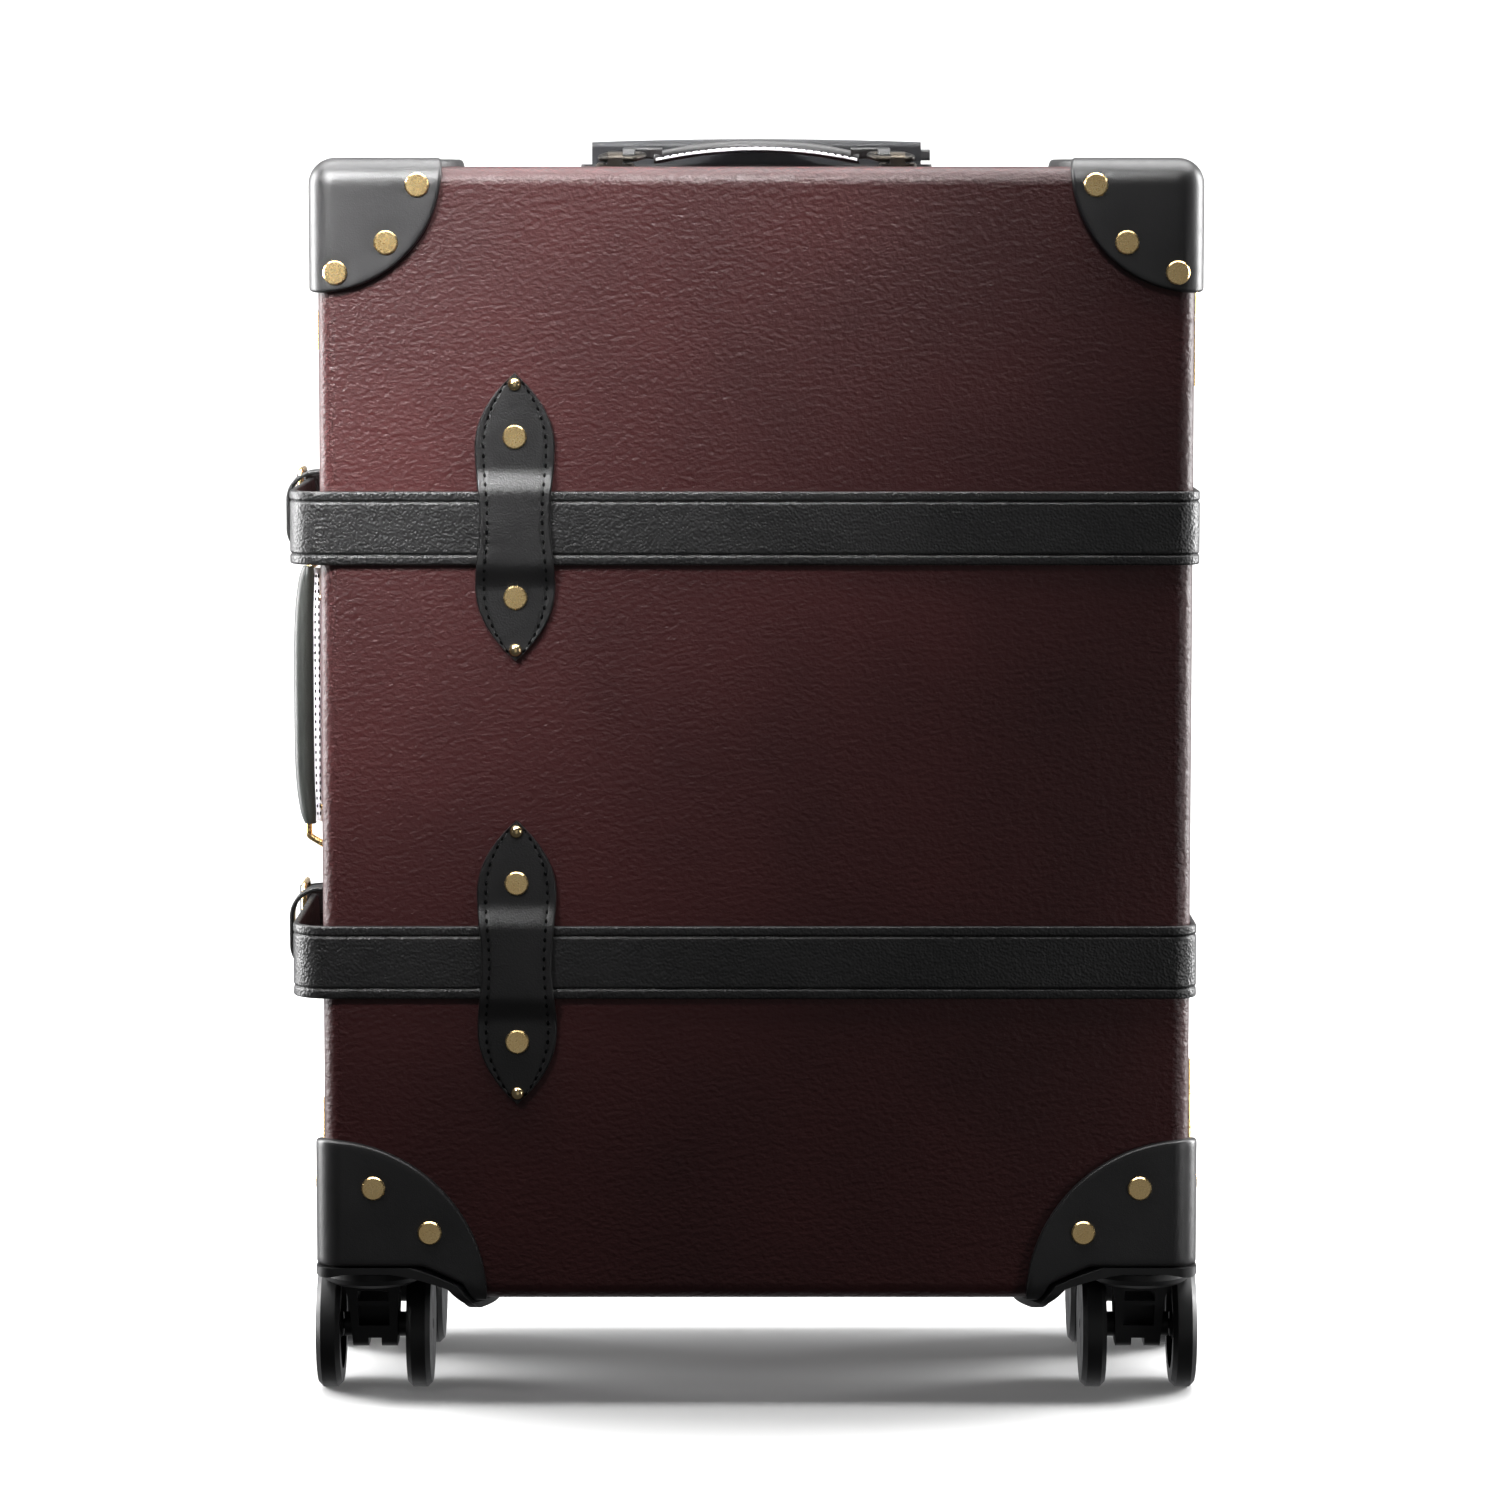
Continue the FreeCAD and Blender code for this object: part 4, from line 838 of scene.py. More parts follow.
@dataclass
class CornerCaps:
    """The two leather caps at one end of one face."""

    sizes: CaseSizes
    side: Side
    top: bool
    rivets: tuple
    thick: float = 4.0
    roll: float = 1.7
    dimple: float = 0.45
    dimple_reach: float = 7.5
    flank_clear: float = 20.0
    dome_gap: float = 0.4
    foot: float = 0.3
    least: float = 0.6
    start: float = 0.5

    def __post_init__(self) -> None:
        """Name the frame's node that the caps take the place of, and read their reach from its box."""
        self.node = f"{self.side.end}_{'top' if self.top else 'bottom'}_corners"
        low, high = node_box(self.node)
        self.reach = float(high[2] - low[2]) - self.thick

    def rivet_points(self) -> Array:
        """Sharp places of the rivets on the face and on the side."""
        face = [(across, 0.0, height) for across, height in self.rivets]
        return np.array(face + [(0.0, *spot) for spot in self.rivets if spot[0] > self.flank_clear])

    def puff(self, inward: Array, lift: Array) -> Array:
        """Draw the leather in round each rivet by a bell-shaped dimple.

        Args:
            inward: Sharp points of the skin.
            lift: Height over the body.

        Returns:
            The height with its dimples; the underside stays as it is.
        """
        gaps = np.linalg.norm(inward[..., None, :] - self.rivet_points(), axis=-1)
        pull = self.dimple * np.exp(-(gaps / self.dimple_reach) ** 2).sum(axis=-1)
        return np.where(lift > self.thick / 2.0, lift - pull, lift)

    def edge_turn(self) -> Array:
        """A quarter roll from the outer face (0, thick) out to the edge, as (inset, lift) pairs."""
        angle = np.radians(np.linspace(0.0, 90.0, 6))
        return point_grid(self.roll * (1.0 - np.sin(angle)), self.thick - self.roll * (1.0 - np.cos(angle)))

    def ball_skin(self, corner: CaseCorner) -> Surface:
        """A cap bounded by a ball about the corner.

        Rays leave the sharp corner at a distance r and run through an angle over the three faces in turn; the
        closed profile in (r, lift) goes out over the top, round the rolled edge and back underneath.

        Args:
            corner: The corner it covers.

        Returns:
            The closed skin.
        """
        alpha = np.radians(runs((0, 12, 8), (15, 75, 16), (78, 88.4, 7)))
        near, far = np.cos(alpha), np.sin(alpha)
        rays = np.vstack([point_grid(near, 0.0, far), point_grid(0.0, far, near), point_grid(far, near, 0.0)])
        turn = self.edge_turn()[1:]
        profile = np.vstack([
            point_grid(np.linspace(self.start, self.reach - self.roll, 30), self.thick),
            point_grid(self.reach - turn[:, 0], turn[:, 1]),
            point_grid(np.linspace(self.reach, self.start, 12), self.sizes.seat),
        ])
        inward = profile[:, None, :1] * rays
        return loft(corner.wrap(inward, self.puff(inward, np.repeat(profile[:, 1:], len(rays), axis=1)))[0])

    def skirt_skin(self, corner: CaseCorner) -> Surface:
        """A cap bounded above by a ball about the corner and below by the caster's dome.

        Stations run round the corner from the face to the side. At each, the closed profile runs from the
        lower edge z = dome height to the upper edge z = sqrt(reach^2 - d^2), with a rolled edge at both, and
        back inside.

        Args:
            corner: The corner it covers.

        Returns:
            The closed skin.
        """
        flat, seat = self.reach - 0.35, self.sizes.seat
        steps = runs((-flat, -12, 36), (-11, 11, 23), (12, flat, 36))
        across, deep = np.clip(-steps, 0.0, None), np.clip(steps, 0.0, None)
        upper = np.sqrt(self.reach ** 2 - steps ** 2)
        lower = np.maximum(CasterPocket.at(corner).rise(across, deep) + self.dome_gap, self.foot)
        keep = upper - lower > self.least
        across, deep, upper, lower = (part[keep, None] for part in (across, deep, upper, lower))
        squeeze = np.clip((upper - lower) / (2.6 * self.roll), 0.0, 1.0)
        first, last = lower + self.roll * squeeze, upper - self.roll * squeeze
        turn = self.edge_turn()
        heights = np.hstack([
            lower, lower + turn[::-1, 0] * squeeze, first + (last - first) * np.linspace(0.0, 1.0, 26)[1:-1],
            upper - turn[:, 0] * squeeze, upper, upper + (lower - upper) * np.linspace(0.1, 0.9, 8),
        ])
        lift = np.concatenate([[seat], turn[::-1, 1], np.full(24, self.thick), turn[:, 1], np.full(9, seat)])
        inward = point_grid(across, deep, heights)
        return loft(corner.wrap(inward, self.puff(inward, np.repeat(lift[None], len(across), axis=0)))[0])

    def build(self) -> list[RivetSpot]:
        """Make both caps as one piece and give their rivets' places.

        Returns:
            The rivets' spots.
        """
        corners = [CaseCorner(self.sizes, sign, self.side, self.top) for sign in (-1, 1)]
        caps = joined(map(self.ball_skin if self.top else self.skirt_skin, corners))
        body, points = self.side.body, self.rivet_points()
        add_piece(f"{self.node}_leather", caps, CAP_LEATHER, body, Slot.LEATHER, (self.node,))
        spots = []
        for corner in corners:
            wrapped = corner.wrap(points, np.full(len(points), self.thick - self.dimple))
            spots += [RivetSpot(place, normal, body) for place, normal in zip(*wrapped)]
        return spots


# Belts, loops, keepers and buckles


def strip_section(half: float, thick: float, edge: float, outer: Array, relief: Array | float = 0.0) -> Array:
    """A flat strip's closed section as (height, width) pairs.

    The underside is flat, both edges turn by quarter circles of the edge radius, and the outer face is
    lowered by the relief.

    Args:
        half: Half the strip's width.
        thick: Its thickness.
        edge: Radius of its edges.
        outer: Width places on the outer face, rising and inside the rounded edges.
        relief: Depth taken off the outer face at those places.

    Returns:
        Points round the section.
    """
    angle = np.radians(np.linspace(0.0, 90.0, 4))
    flat = half - edge
    rise = point_grid(edge * (1.0 - np.cos(angle)), flat + edge * np.sin(angle))
    fall = point_grid(thick - edge * (1.0 - np.sin(angle)), flat + edge * np.cos(angle))
    under = point_grid(0.0, np.linspace(-flat, flat, 7)[1:-1])
    crown = point_grid(thick - relief, outer)[::-1]
    right = np.vstack([rise, fall])
    return np.vstack([under, right, crown, right[::-1] * [1.0, -1.0]])


def swept_strip(path: Array, section: Array, outward: int, level: float,
                widths: Array | float = 1.0) -> Array:
    """Sections of a strip on edge along a flat path: p + height times the path's normal, level + width.

    Args:
        path: Points in X and Y.
        section: (height, width) pairs.
        outward: Sign of the normal (dy, -dx) that points away from the case.
        level: Height of the strip's middle line.
        widths: Scale of the width at each point.

    Returns:
        Array of shape (points, section, 3).
    """
    along = path_frames(path)
    normal = outward * point_grid(along[:, 1], -along[:, 0])
    flat = path[:, None] + section[:, :1] * normal[:, None]
    return point_grid(flat[..., 0], flat[..., 1], level + np.reshape(widths, (-1, 1)) * section[:, 1])


@dataclass
class Belt:
    """One belt: the lid's run with its tail, and the base's run to the buckle."""

    sizes: CaseSizes
    name: str
    level: float
    groove_inset: float = 4.6
    groove_depth: float = 0.75
    groove_width: float = 0.55
    edge: float = 0.9
    turn: float = 14.0
    hole: float = 2.0
    hole_depth: float = 2.5
    hole_places: tuple = (-86.0, -68.0, -50.0, -32.0, -14.0)
    seam: float = 1.0
    rise_run: float = 14.0
    rise_bend: float = 6.0
    stop_short: float = 6.5
    heel_bar: float = 1.3
    heel_wrap: float = 2.85
    tab_thick: float = 2.3
    tab_edge: float = 0.7
    tab_tails: tuple[float, float] = (8.0, 7.0)
    slot: float = 3.0

    def section(self) -> Array:
        """The belt's section with its two creases.

        Returns:
            (height, width) pairs.
        """
        half = self.sizes.belt_width / 2.0
        crease = half - self.groove_inset
        band = crease + np.linspace(-1.5, 1.5, 9)
        flank = np.linspace(3.2, 8.5, 5)
        outer = np.concatenate([-band, -flank, np.linspace(-2.8, 2.8, 17), flank, band, -band[:1] - 2.1,
                                band[-1:] + 1.0])
        outer = np.unique(np.clip(outer, -half + 1.2, half - 1.2))
        relief = self.groove_depth * np.exp(-((np.abs(outer) - crease) / self.groove_width) ** 2)
        return strip_section(half, self.sizes.belt_thick, self.edge, outer, relief)

    def build(self) -> None:
        """Make both runs."""
        self.build_front()
        self.build_back()

    def add_run(self, end: str, surface: Surface, body: Body) -> None:
        """Put one run in its frame node's place."""
        add_piece(f"{self.name}_belt_{end}", surface, BELT_LEATHER, body, Slot.LEATHER,
                  (f"strap_{self.name}_{end}",))

    def build_front(self) -> None:
        """The lid's run: from the hinge seam round the front to the tail, with punched holes."""
        sizes, seat = self.sizes, self.sizes.seat
        low, high = node_box(f"strap_{self.name}_front")
        free = low[0] + sizes.belt_thick
        side, face = sizes.half_width + seat, -sizes.half_depth - seat
        corners = [(side, -self.seam), (side, face), (free, face), (free, high[1])]
        path = rounded_path(corners, [0.0, sizes.edge + seat, self.turn, 0.0], False, 7.0)
        marks = path_marks(path)
        half = sizes.belt_width / 2.0
        straight = marks[-1] - half
        tail = straight + half * np.sin(np.radians(np.linspace(0.0, 88.5, 16)))
        holes = marks[-1] - (high[1] - np.array(self.hole_places))
        fine = (holes[:, None] + np.linspace(-2.8, 2.8, 17)).ravel()
        places = np.unique(np.concatenate([marks[:-1], np.linspace(0.0, straight, 90), fine, tail]).round(4))
        points, _ = spread_along(path, places)
        section = self.section()
        reach = np.clip((places - straight) / half, 0.0, 1.0)
        sections = swept_strip(points, section, -1, self.level, np.sqrt(1.0 - reach ** 2))
        gap = np.hypot(places[:, None, None] - holes, section[:, 1:]).min(axis=-1)
        depth = self.hole_depth * smoothstep(gap, self.hole + 0.2, self.hole - 0.2)
        depth = np.where(section[:, 0] > sizes.belt_thick / 2.0, depth, 0.0)
        along = path_frames(points)
        inward = point_grid(along[:, 1], -along[:, 0], 0.0)
        self.add_run("front", loft(sections + depth[..., None] * inward[:, None]), Body.LID)

    def build_back(self) -> None:
        """The base's run: round the back, then split into two tabs that wrap the buckle's heel bar."""
        sizes, seat = self.sizes, self.sizes.seat
        low, high = node_box("buckle_frames")
        heel = np.array([low[0], high[1]]) + [self.heel_bar, -self.heel_bar]
        side, face = sizes.half_width + seat, sizes.half_depth + seat
        bend = sizes.edge + seat
        start = np.array([-side, heel[1] + self.rise_run])
        lead = unit(heel - start)
        out = np.array([lead[1], -lead[0]])
        stop = heel + out * (self.heel_wrap - self.tab_thick / 2.0) - lead * self.stop_short
        corners = [(side, self.seam), (side, face), (-side, face), start, stop]
        path = rounded_path(corners, [0.0, bend, bend, self.rise_bend, 0.0], False, 7.0)
        marks = path_marks(path)
        places = np.unique(np.concatenate([marks, np.linspace(0.0, marks[-1], 90)]).round(4))
        surface = loft(swept_strip(spread_along(path, places)[0], self.section(), 1, self.level))
        tabs = [self.tab(heel, lead, out, sign) for sign in (-1, 1)]
        self.add_run("back", joined([surface, *tabs]), Body.BASE)

    def tab(self, heel: Array, lead: Array, out: Array, sign: int) -> Surface:
        """Half of the belt's end, folded in a half circle round the heel bar and back under the belt.

        Args:
            heel: The bar's middle in X and Y.
            lead: Unit direction of the belt as it comes to the bar.
            out: Unit direction away from the case.
            sign: Which side of the tongue.

        Returns:
            The closed tab.
        """
        radius = self.heel_wrap - self.tab_thick / 2.0
        angle = np.radians(np.linspace(0.0, 180.0, 16))[:, None]
        wrap = heel + radius * (np.cos(angle) * out + np.sin(angle) * lead)
        over, under = self.tab_tails
        path = np.vstack([wrap[:1] - lead * over, wrap, wrap[-1:] - lead * under])
        half = (self.sizes.belt_width / 2.0 - self.slot) / 2.0
        section = strip_section(half, self.tab_thick, self.tab_edge, np.linspace(1.0 - half, half - 1.0, 6))
        return loft(swept_strip(path, section, 1, self.level + sign * (self.slot + half)))


@dataclass
class LeafLoops:
    """The stitched leaf-shaped loops that hold the belts on one face."""

    sizes: CaseSizes
    side: Side
    offset: float = -108.0
    tip: float = 64.5
    shoulder: float = 31.0
    widest: float = 17.9
    waist: float = 15.7
    thick: float = 2.6
    edge: float = 0.8
    slack: float = 0.45
    step_out: float = 11.0
    step_in: float = 1.5
    taper: float = 2.1
    inset: float = 3.9
    groove_depth: float = 0.22
    groove_width: float = 0.9
    pitch: float = 4.2
    thread: float = 0.62
    sunk: float = 0.12
    stitch_end: float = 3.0
    rivet_at: float = 36.0
    rivet_sunk: float = 0.2
    nail_at: float = 59.5
    rises: tuple = (4.9, 0.0)

    def half_width(self, height: Array) -> Array:
        """Half the leaf's width: waist + swell sin^2 up to the shoulder, then a power curve down to the tip.

        Args:
            height: Distance from the leaf's middle.

        Returns:
            Half widths.
        """
        up = np.abs(height)
        swell = np.sin(np.pi / 2.0 * np.clip(up / self.shoulder, 0, 1)) ** 2
        near = self.waist + (self.widest - self.waist) * swell
        run = np.clip((up - self.shoulder) / (self.tip - self.shoulder), 0.0, 1.0)
        return np.where(up < self.shoulder, near, self.widest * (1.0 - run ** self.taper))

    def out(self, height: Array, over: Array | float) -> Array:
        """Y of a point over the leaf's underside, which lies on the face and steps smoothly over the belt.

        Args:
            height: Distance from the belt's middle line.
            over: Height over the underside.

        Returns:
            Y coordinates.
        """
        step, half = self.sizes.belt_thick + self.slack, self.sizes.belt_width / 2.0
        lift = self.sizes.seat + step * smoothstep(np.abs(height), half + self.step_out, half - self.step_in)
        return self.side.value * (self.sizes.half_depth + lift + over)

    def leaf(self, level: float, rise: float) -> Surface:
        """One leaf: rows along its length, each a closed strip section with a groove near both edges.

        Args:
            level: Height of the belt's middle line.
            rise: Height of the leaf's middle over it.

        Returns:
            The closed skin.
        """
        rows = self.tip * np.sin(np.radians(np.linspace(-88.6, 88.6, 141)))[:, None]
        crease = self.widest - self.inset
        near = np.linspace(-1.5, 1.5, 7)
        places = np.concatenate([np.linspace(-16.6, 16.6, 21), crease + near, near - crease])
        outer = np.unique(places.round(3))
        relief = self.groove_depth * np.exp(-((np.abs(outer) - crease) / self.groove_width) ** 2)
        section = strip_section(self.widest, self.thick, self.edge, outer, relief)
        across = self.offset + self.half_width(rows) / self.widest * section[:, 1]
        return loft(point_grid(across, self.out(rows + rise, section[:, 0]), level + rise + rows))

    def stitches(self, level: float, rise: float) -> Surface:
        """Stitches at an even pitch along both grooves.

        Args:
            level: Height of the belt's middle line.
            rise: Height of the leaf's middle over it.

        Returns:
            All stitches of one leaf.
        """
        rows = np.linspace(self.stitch_end - self.tip, self.tip - self.stitch_end, 400)
        wide = self.half_width(rows) * (1.0 - self.inset / self.widest)
        depth = self.out(rows + rise, self.thick - self.sunk)
        return joined(
            stitch_row(point_grid(self.offset + sign * wide, depth, level + rise + rows), self.side.normal,
                       self.pitch, self.thread)
            for sign in (-1.0, 1.0)
        )

    def build(self) -> tuple[list[RivetSpot], ...]:
        """Make the leaves and their stitches.

        Returns:
            The spots of the rivets and of the nails.
        """
        places = list(zip(self.sizes.belt_levels, self.rises))
        face, body = self.side.name.lower(), self.side.body
        leaves = joined(self.leaf(*place) for place in places)
        add_piece(f"{face}_belt_loops", leaves, BRIDLE_LEATHER, body, Slot.LEATHER, (f"{face}_strap_loops",))
        stitches = joined(self.stitches(*place) for place in places)
        add_piece(f"{face}_loop_stitches", stitches, BLACK_THREAD, body, Slot.LEATHER)
        out = self.side.value * (self.sizes.half_depth + self.sizes.seat + self.thick - self.rivet_sunk)
        return tuple(
            [RivetSpot(np.array([self.offset, out, level + rise + sign * far]), self.side.normal, body)
             for level, rise in places for sign in (-1, 1)]
            for far in (self.rivet_at, self.nail_at)
        )


@dataclass
class Keepers:
    """The slack leather loops on the opening side that the belt tails run through."""

    sizes: CaseSizes
    thick: float = 2.0
    corner: float = 14.0
    wall_corner: float = 1.6
    edge: float = 0.6

    def build(self) -> None:
        """Make both keepers as one piece: a strip section carried round a closed rounded path."""
        low, high = node_box("strap_keepers")
        half = float(high[2]) - self.sizes.belt_levels[0]
        width = float(high[1] - low[1]) / 2.0
        wall, bulge = -self.sizes.half_width - self.sizes.seat, float(low[0])
        corners = [(wall, -half), (wall, half), (bulge, half), (bulge, -half)]
        radii = [self.wall_corner, self.wall_corner, self.corner, self.corner]
        inset = rounded_path(corners, radii, True, 6.0)
        along = path_frames(inset, True)
        normal = point_grid(along[:, 1], -along[:, 0])
        middle = np.array([(wall + bulge) / 2.0, 0.0])
        normal *= np.sign(((middle - inset) * normal).sum(axis=-1, keepdims=True))
        strip = strip_section(width, self.thick, self.edge, np.linspace(1.0 - width, width - 1.0, 7))
        flat = inset[:, None] + (self.thick - strip[:, :1]) * normal[:, None]
        depth = low[1] + width + strip[:, 1]
        loops = joined(loft(point_grid(flat[..., 0], depth, level + flat[..., 1]), True)
                       for level in self.sizes.belt_levels)
        add_piece("belt_keepers", loops, BRIDLE_LEATHER, Body.BASE, Slot.LEATHER, ("strap_keepers",))


@dataclass
class Buckles:
    """Brass wire frames of the belts' buckles."""

    sizes: CaseSizes
    wire: float = 2.6
    bend: float = 4.0

    def build(self) -> None:
        """Make both frames: a round wire on a rounded rectangle."""
        low, high = node_box("buckle_frames")
        radius = self.wire / 2.0
        half = float(high[2]) - self.sizes.belt_levels[0] - radius
        near, far = low[1] + radius, high[1] - radius
        corners = [(near, -half), (near, half), (far, half), (far, -half)]
        flat = rounded_path(corners, [self.bend] * 4, True, 10.0)
        frames = joined(tube(point_grid(low[0] + radius, flat[:, 0], level + flat[:, 1]), radius, 14, X_AXIS)
                        for level in self.sizes.belt_levels)
        add_piece("belt_buckles", frames, BRASS, Body.BASE, Slot.BRASS, ("buckle_frames",))


# Carry handles, linings and fixings


@dataclass(frozen=True)
class HandleSpot:
    """Where a carry handle stands: its eyes' middle, and its directions along, across and out."""

    name: str
    body: Body
    origin: tuple[float, float, float]
    along: Array
    across: Array
    out: Array

    @property
    def axis(self) -> int:
        """Which of X, Y and Z the handle lies along."""
        return int(np.argmax(np.abs(self.along)))

    def place(self, local: Array) -> Array:
        """World points for (along, across, out) distances from the eyes' middle."""
        return np.array(self.origin) + local @ np.array([self.along, self.across, self.out])


@dataclass
class CarryHandle:
    """A rolled leather handle with a stitched fin, hung on two brass rings."""

    spot: HandleSpot
    leather: Finish
    link_finish: Finish
    span: float
    rise: float
    breadth: float
    fin: float
    thick: float = 13.0
    roll: float = 4.4
    end_low: float = 6.7
    end_high: float = 14.5
    curve: float = 2.0
    ends: tuple[float, float] | None = None
    droop: float = 0.0
    wire: float = 3.0
    ring_rise: float = 10.0
    ring_shift: float = 6.0
    ring_bend: float = 2.4
    sleeve: float = 6.0
    sleeve_wall: float = 2.2
    sleeve_play: float = 0.35
    tongue: float = 2.4
    pitch: float = 3.6
    thread: float = 0.36
    foot_lift: float = 1.4
    foot_pins: float = 6.4

    def __post_init__(self) -> None:
        """Take the rings' half length from the frame; the roll ends short of them or at its own ends."""
        _, high = node_box(f"{self.spot.name}_rings")
        axis = self.spot.axis
        self.half = float(high[axis]) - self.spot.origin[axis] - self.span - self.wire / 2.0
        self.reach = self.span - self.half - self.ring_shift - self.wire
        self.low_end, self.high_end = self.ends or (self.reach, self.reach)

    def stations(self, count: int, inset: float = 0.0) -> Array:
        """Places from end to end, closer together towards both: middle + half length times sin a.

        Args:
            count: Number of places.
            inset: Distance left free at both ends.

        Returns:
            A column of distances along the handle.
        """
        low, high = inset - self.low_end, self.high_end - inset
        share = np.sin(np.linspace(-np.pi / 2.0, np.pi / 2.0, count))[:, None]
        return (low + high) / 2.0 + (high - low) / 2.0 * share

    def arc(self, along: Array, end: float, middle: float) -> Array:
        """Height of an arch, given at its ends and its middle: middle - (middle - end) share^curve."""
        share = np.abs(along) / np.where(along < 0.0, self.low_end, self.high_end)
        return middle - (middle - end) * share ** self.curve

    def outer(self, along: Array) -> Array:
        """Height of the roll's outer line."""
        return self.arc(along, self.end_high, self.rise)

    def inner(self, along: Array) -> Array:
        """Height of the fin's inner edge."""
        return self.arc(along, self.end_low, self.rise - self.thick)

    def roll_size(self, along: Array) -> Array:
        """The roll's radius, which shrinks with the handle's thickness towards the ends."""
        return self.roll * (self.outer(along) - self.inner(along)) / self.thick

    def bowed(self, local: Array) -> Array:
        """World points of a skin whose ends hang by the droop: across + droop (along / reach)^2."""
        hang = self.droop * (local[:, :1] / self.reach) ** 2
        return self.spot.place(local + hang * Y_AXIS)

    def roll_skin(self) -> Surface:
        """The roll: an ellipse carried along the arch, drawn in at both ends.

        Returns:
            The closed skin.
        """
        along, angle = self.stations(73), full_turn(28)
        size = self.roll_size(along)
        left = np.minimum(along + self.low_end, self.high_end - along)
        ends = 0.72 + 0.28 * np.sqrt(np.clip(left / 5.0, 0.0, 1.0))
        height = self.outer(along) - size + ends * size * np.sin(angle)
        return loft(point_grid(along, ends * self.breadth / 2.0 * np.cos(angle), height))

    def fin_skin(self) -> Surface:
        """The fin: two leather layers from inside the roll to a rounded inner edge.

        Returns:
            The closed skin.
        """
        along = self.stations(61, 1.0)
        top = self.outer(along) - 1.3 * self.roll_size(along)
        angle = np.radians(np.linspace(180.0, 360.0, 9))
        across = self.fin * np.append(np.cos(angle), [1.0, -1.0])
        height = np.hstack([self.inner(along) + self.fin * (1.0 + np.sin(angle)), top, top])
        return loft(point_grid(along, across, height))

    def fin_stitches(self) -> Surface:
        """Two stitch rows on each side of the fin, one under the roll and one near the inner edge.

        Returns:
            All stitches.
        """
        along = np.linspace(3.0 - self.low_end, self.high_end - 3.0, 200)
        heights = (self.inner(along) + 0.9, self.outer(along) - 2.0 * self.roll_size(along) - 0.4)
        return joined(
            stitch_row(point_grid(along, sign * self.fin, height), sign * Y_AXIS, self.pitch, self.thread)
            for height in heights for sign in (-1.0, 1.0)
        )

    def sleeve_skin(self, sign: int) -> Surface:
        """The leather sleeve on a ring's head bar, with the tongue that joins it to the roll.

        The sleeve is a closed ring: its wall's rounded rectangle in (along, depth) carried round an ellipse.

        Args:
            sign: Which end of the handle.

        Returns:
            The sleeve and the tongue.
        """
        centre, half = self.span - self.ring_shift - 0.14, self.sleeve / 2.0
        bore = self.wire / 2.0 + self.sleeve_play
        wall = min(bore + self.sleeve_wall, self.breadth / 2.0) - bore
        along = np.array([-half, -half, 0.4 - half, 0.0, half - 0.4, half, half, half - 0.2, 0.2 - half])
        depth = np.array([0.15, 0.75, 1.0, 1.0, 1.0, 0.75, 0.15, 0.0, 0.0])
        angle = full_turn(24)[:, None]
        ring = point_grid(sign * (centre + along), (bore + wall * depth) * np.cos(angle),
                          self.ring_rise + (bore + self.sleeve_wall * depth) * np.sin(angle))
        run = np.linspace(self.reach - 4.0, centre + half - 0.6, 9)[:, None]
        section = strip_section(self.breadth / 2.0 - 0.4, self.tongue, 0.9, np.linspace(-1.2, 1.2, 3))
        sag = np.interp(run, [self.reach, self.reach + 3.0],
                        [self.end_high - 2.9, self.ring_rise + bore + 0.1])
        tongue = point_grid(sign * run, section[:, 1], sag + section[:, 0])
        return joined([loft(ring, True), loft(tongue)])

    def ring_skin(self, sign: int) -> Surface:
        """One ring: round wire on a leaning four-sided link with bent corners.

        Args:
            sign: Which end of the handle.

        Returns:
            The closed wire.
        """
        near, far = self.span - self.half, self.span + self.half
        head = [(far - self.ring_shift, self.ring_rise), (near - self.ring_shift, self.ring_rise)]
        flat = rounded_path([(near, 0.0), (far, 0.0), *head], [self.ring_bend] * 4, True, 10.0)
        return tube(point_grid(sign * flat[:, 0], 0.0, flat[:, 1]), self.wire / 2.0, 14, Y_AXIS)

    def build(self) -> list[RivetSpot]:
        """Make the handle, its rings and its stitches.

        Returns:
            Spots of the rivets through the eyes' feet.
        """
        name, body, place = self.spot.name, self.spot.body, self.spot.place
        roll = self.roll_skin().mapped(self.bowed)
        if self.ends is None:
            roll = joined([roll, *(self.sleeve_skin(sign).mapped(place) for sign in (-1, 1))])
        add_piece(f"{name}_roll", roll, self.leather, body, Slot.LEATHER, (f"{name}_grip",))
        add_piece(f"{name}_fin", self.fin_skin().mapped(self.bowed), FIN_LEATHER, body, Slot.LEATHER)
        stitches = self.fin_stitches().mapped(self.bowed)
        add_piece(f"{name}_stitches", stitches, BLACK_THREAD, body, Slot.LEATHER)
        rings = joined(self.ring_skin(sign) for sign in (-1, 1)).mapped(place)
        add_piece(f"{name}_links", rings, self.link_finish, body, Slot.BRASS, (f"{name}_rings",))
        return self.foot_spots()

    def foot_spots(self) -> list[RivetSpot]:
        """Two rivets in the foot plate of each eye, which stays square to the case.

        Returns:
            The spots.
        """
        low, high = node_box(f"{self.spot.name}_mounts")
        base, axis = (low + high) / 2.0, self.spot.axis
        if self.spot.body is Body.SIDE_HANDLE:
            wall = -X_AXIS
            base[0] = high[0] - self.foot_lift
        else:
            wall = Z_AXIS
            base[2] = low[2] + self.foot_lift
        base[axis] = self.spot.origin[axis]
        shifts = [end * self.span + shift for end in (-1, 1) for shift in (-self.foot_pins, self.foot_pins)]
        return [RivetSpot(base + shift * np.eye(3)[axis], wall, Body.BASE) for shift in shifts]


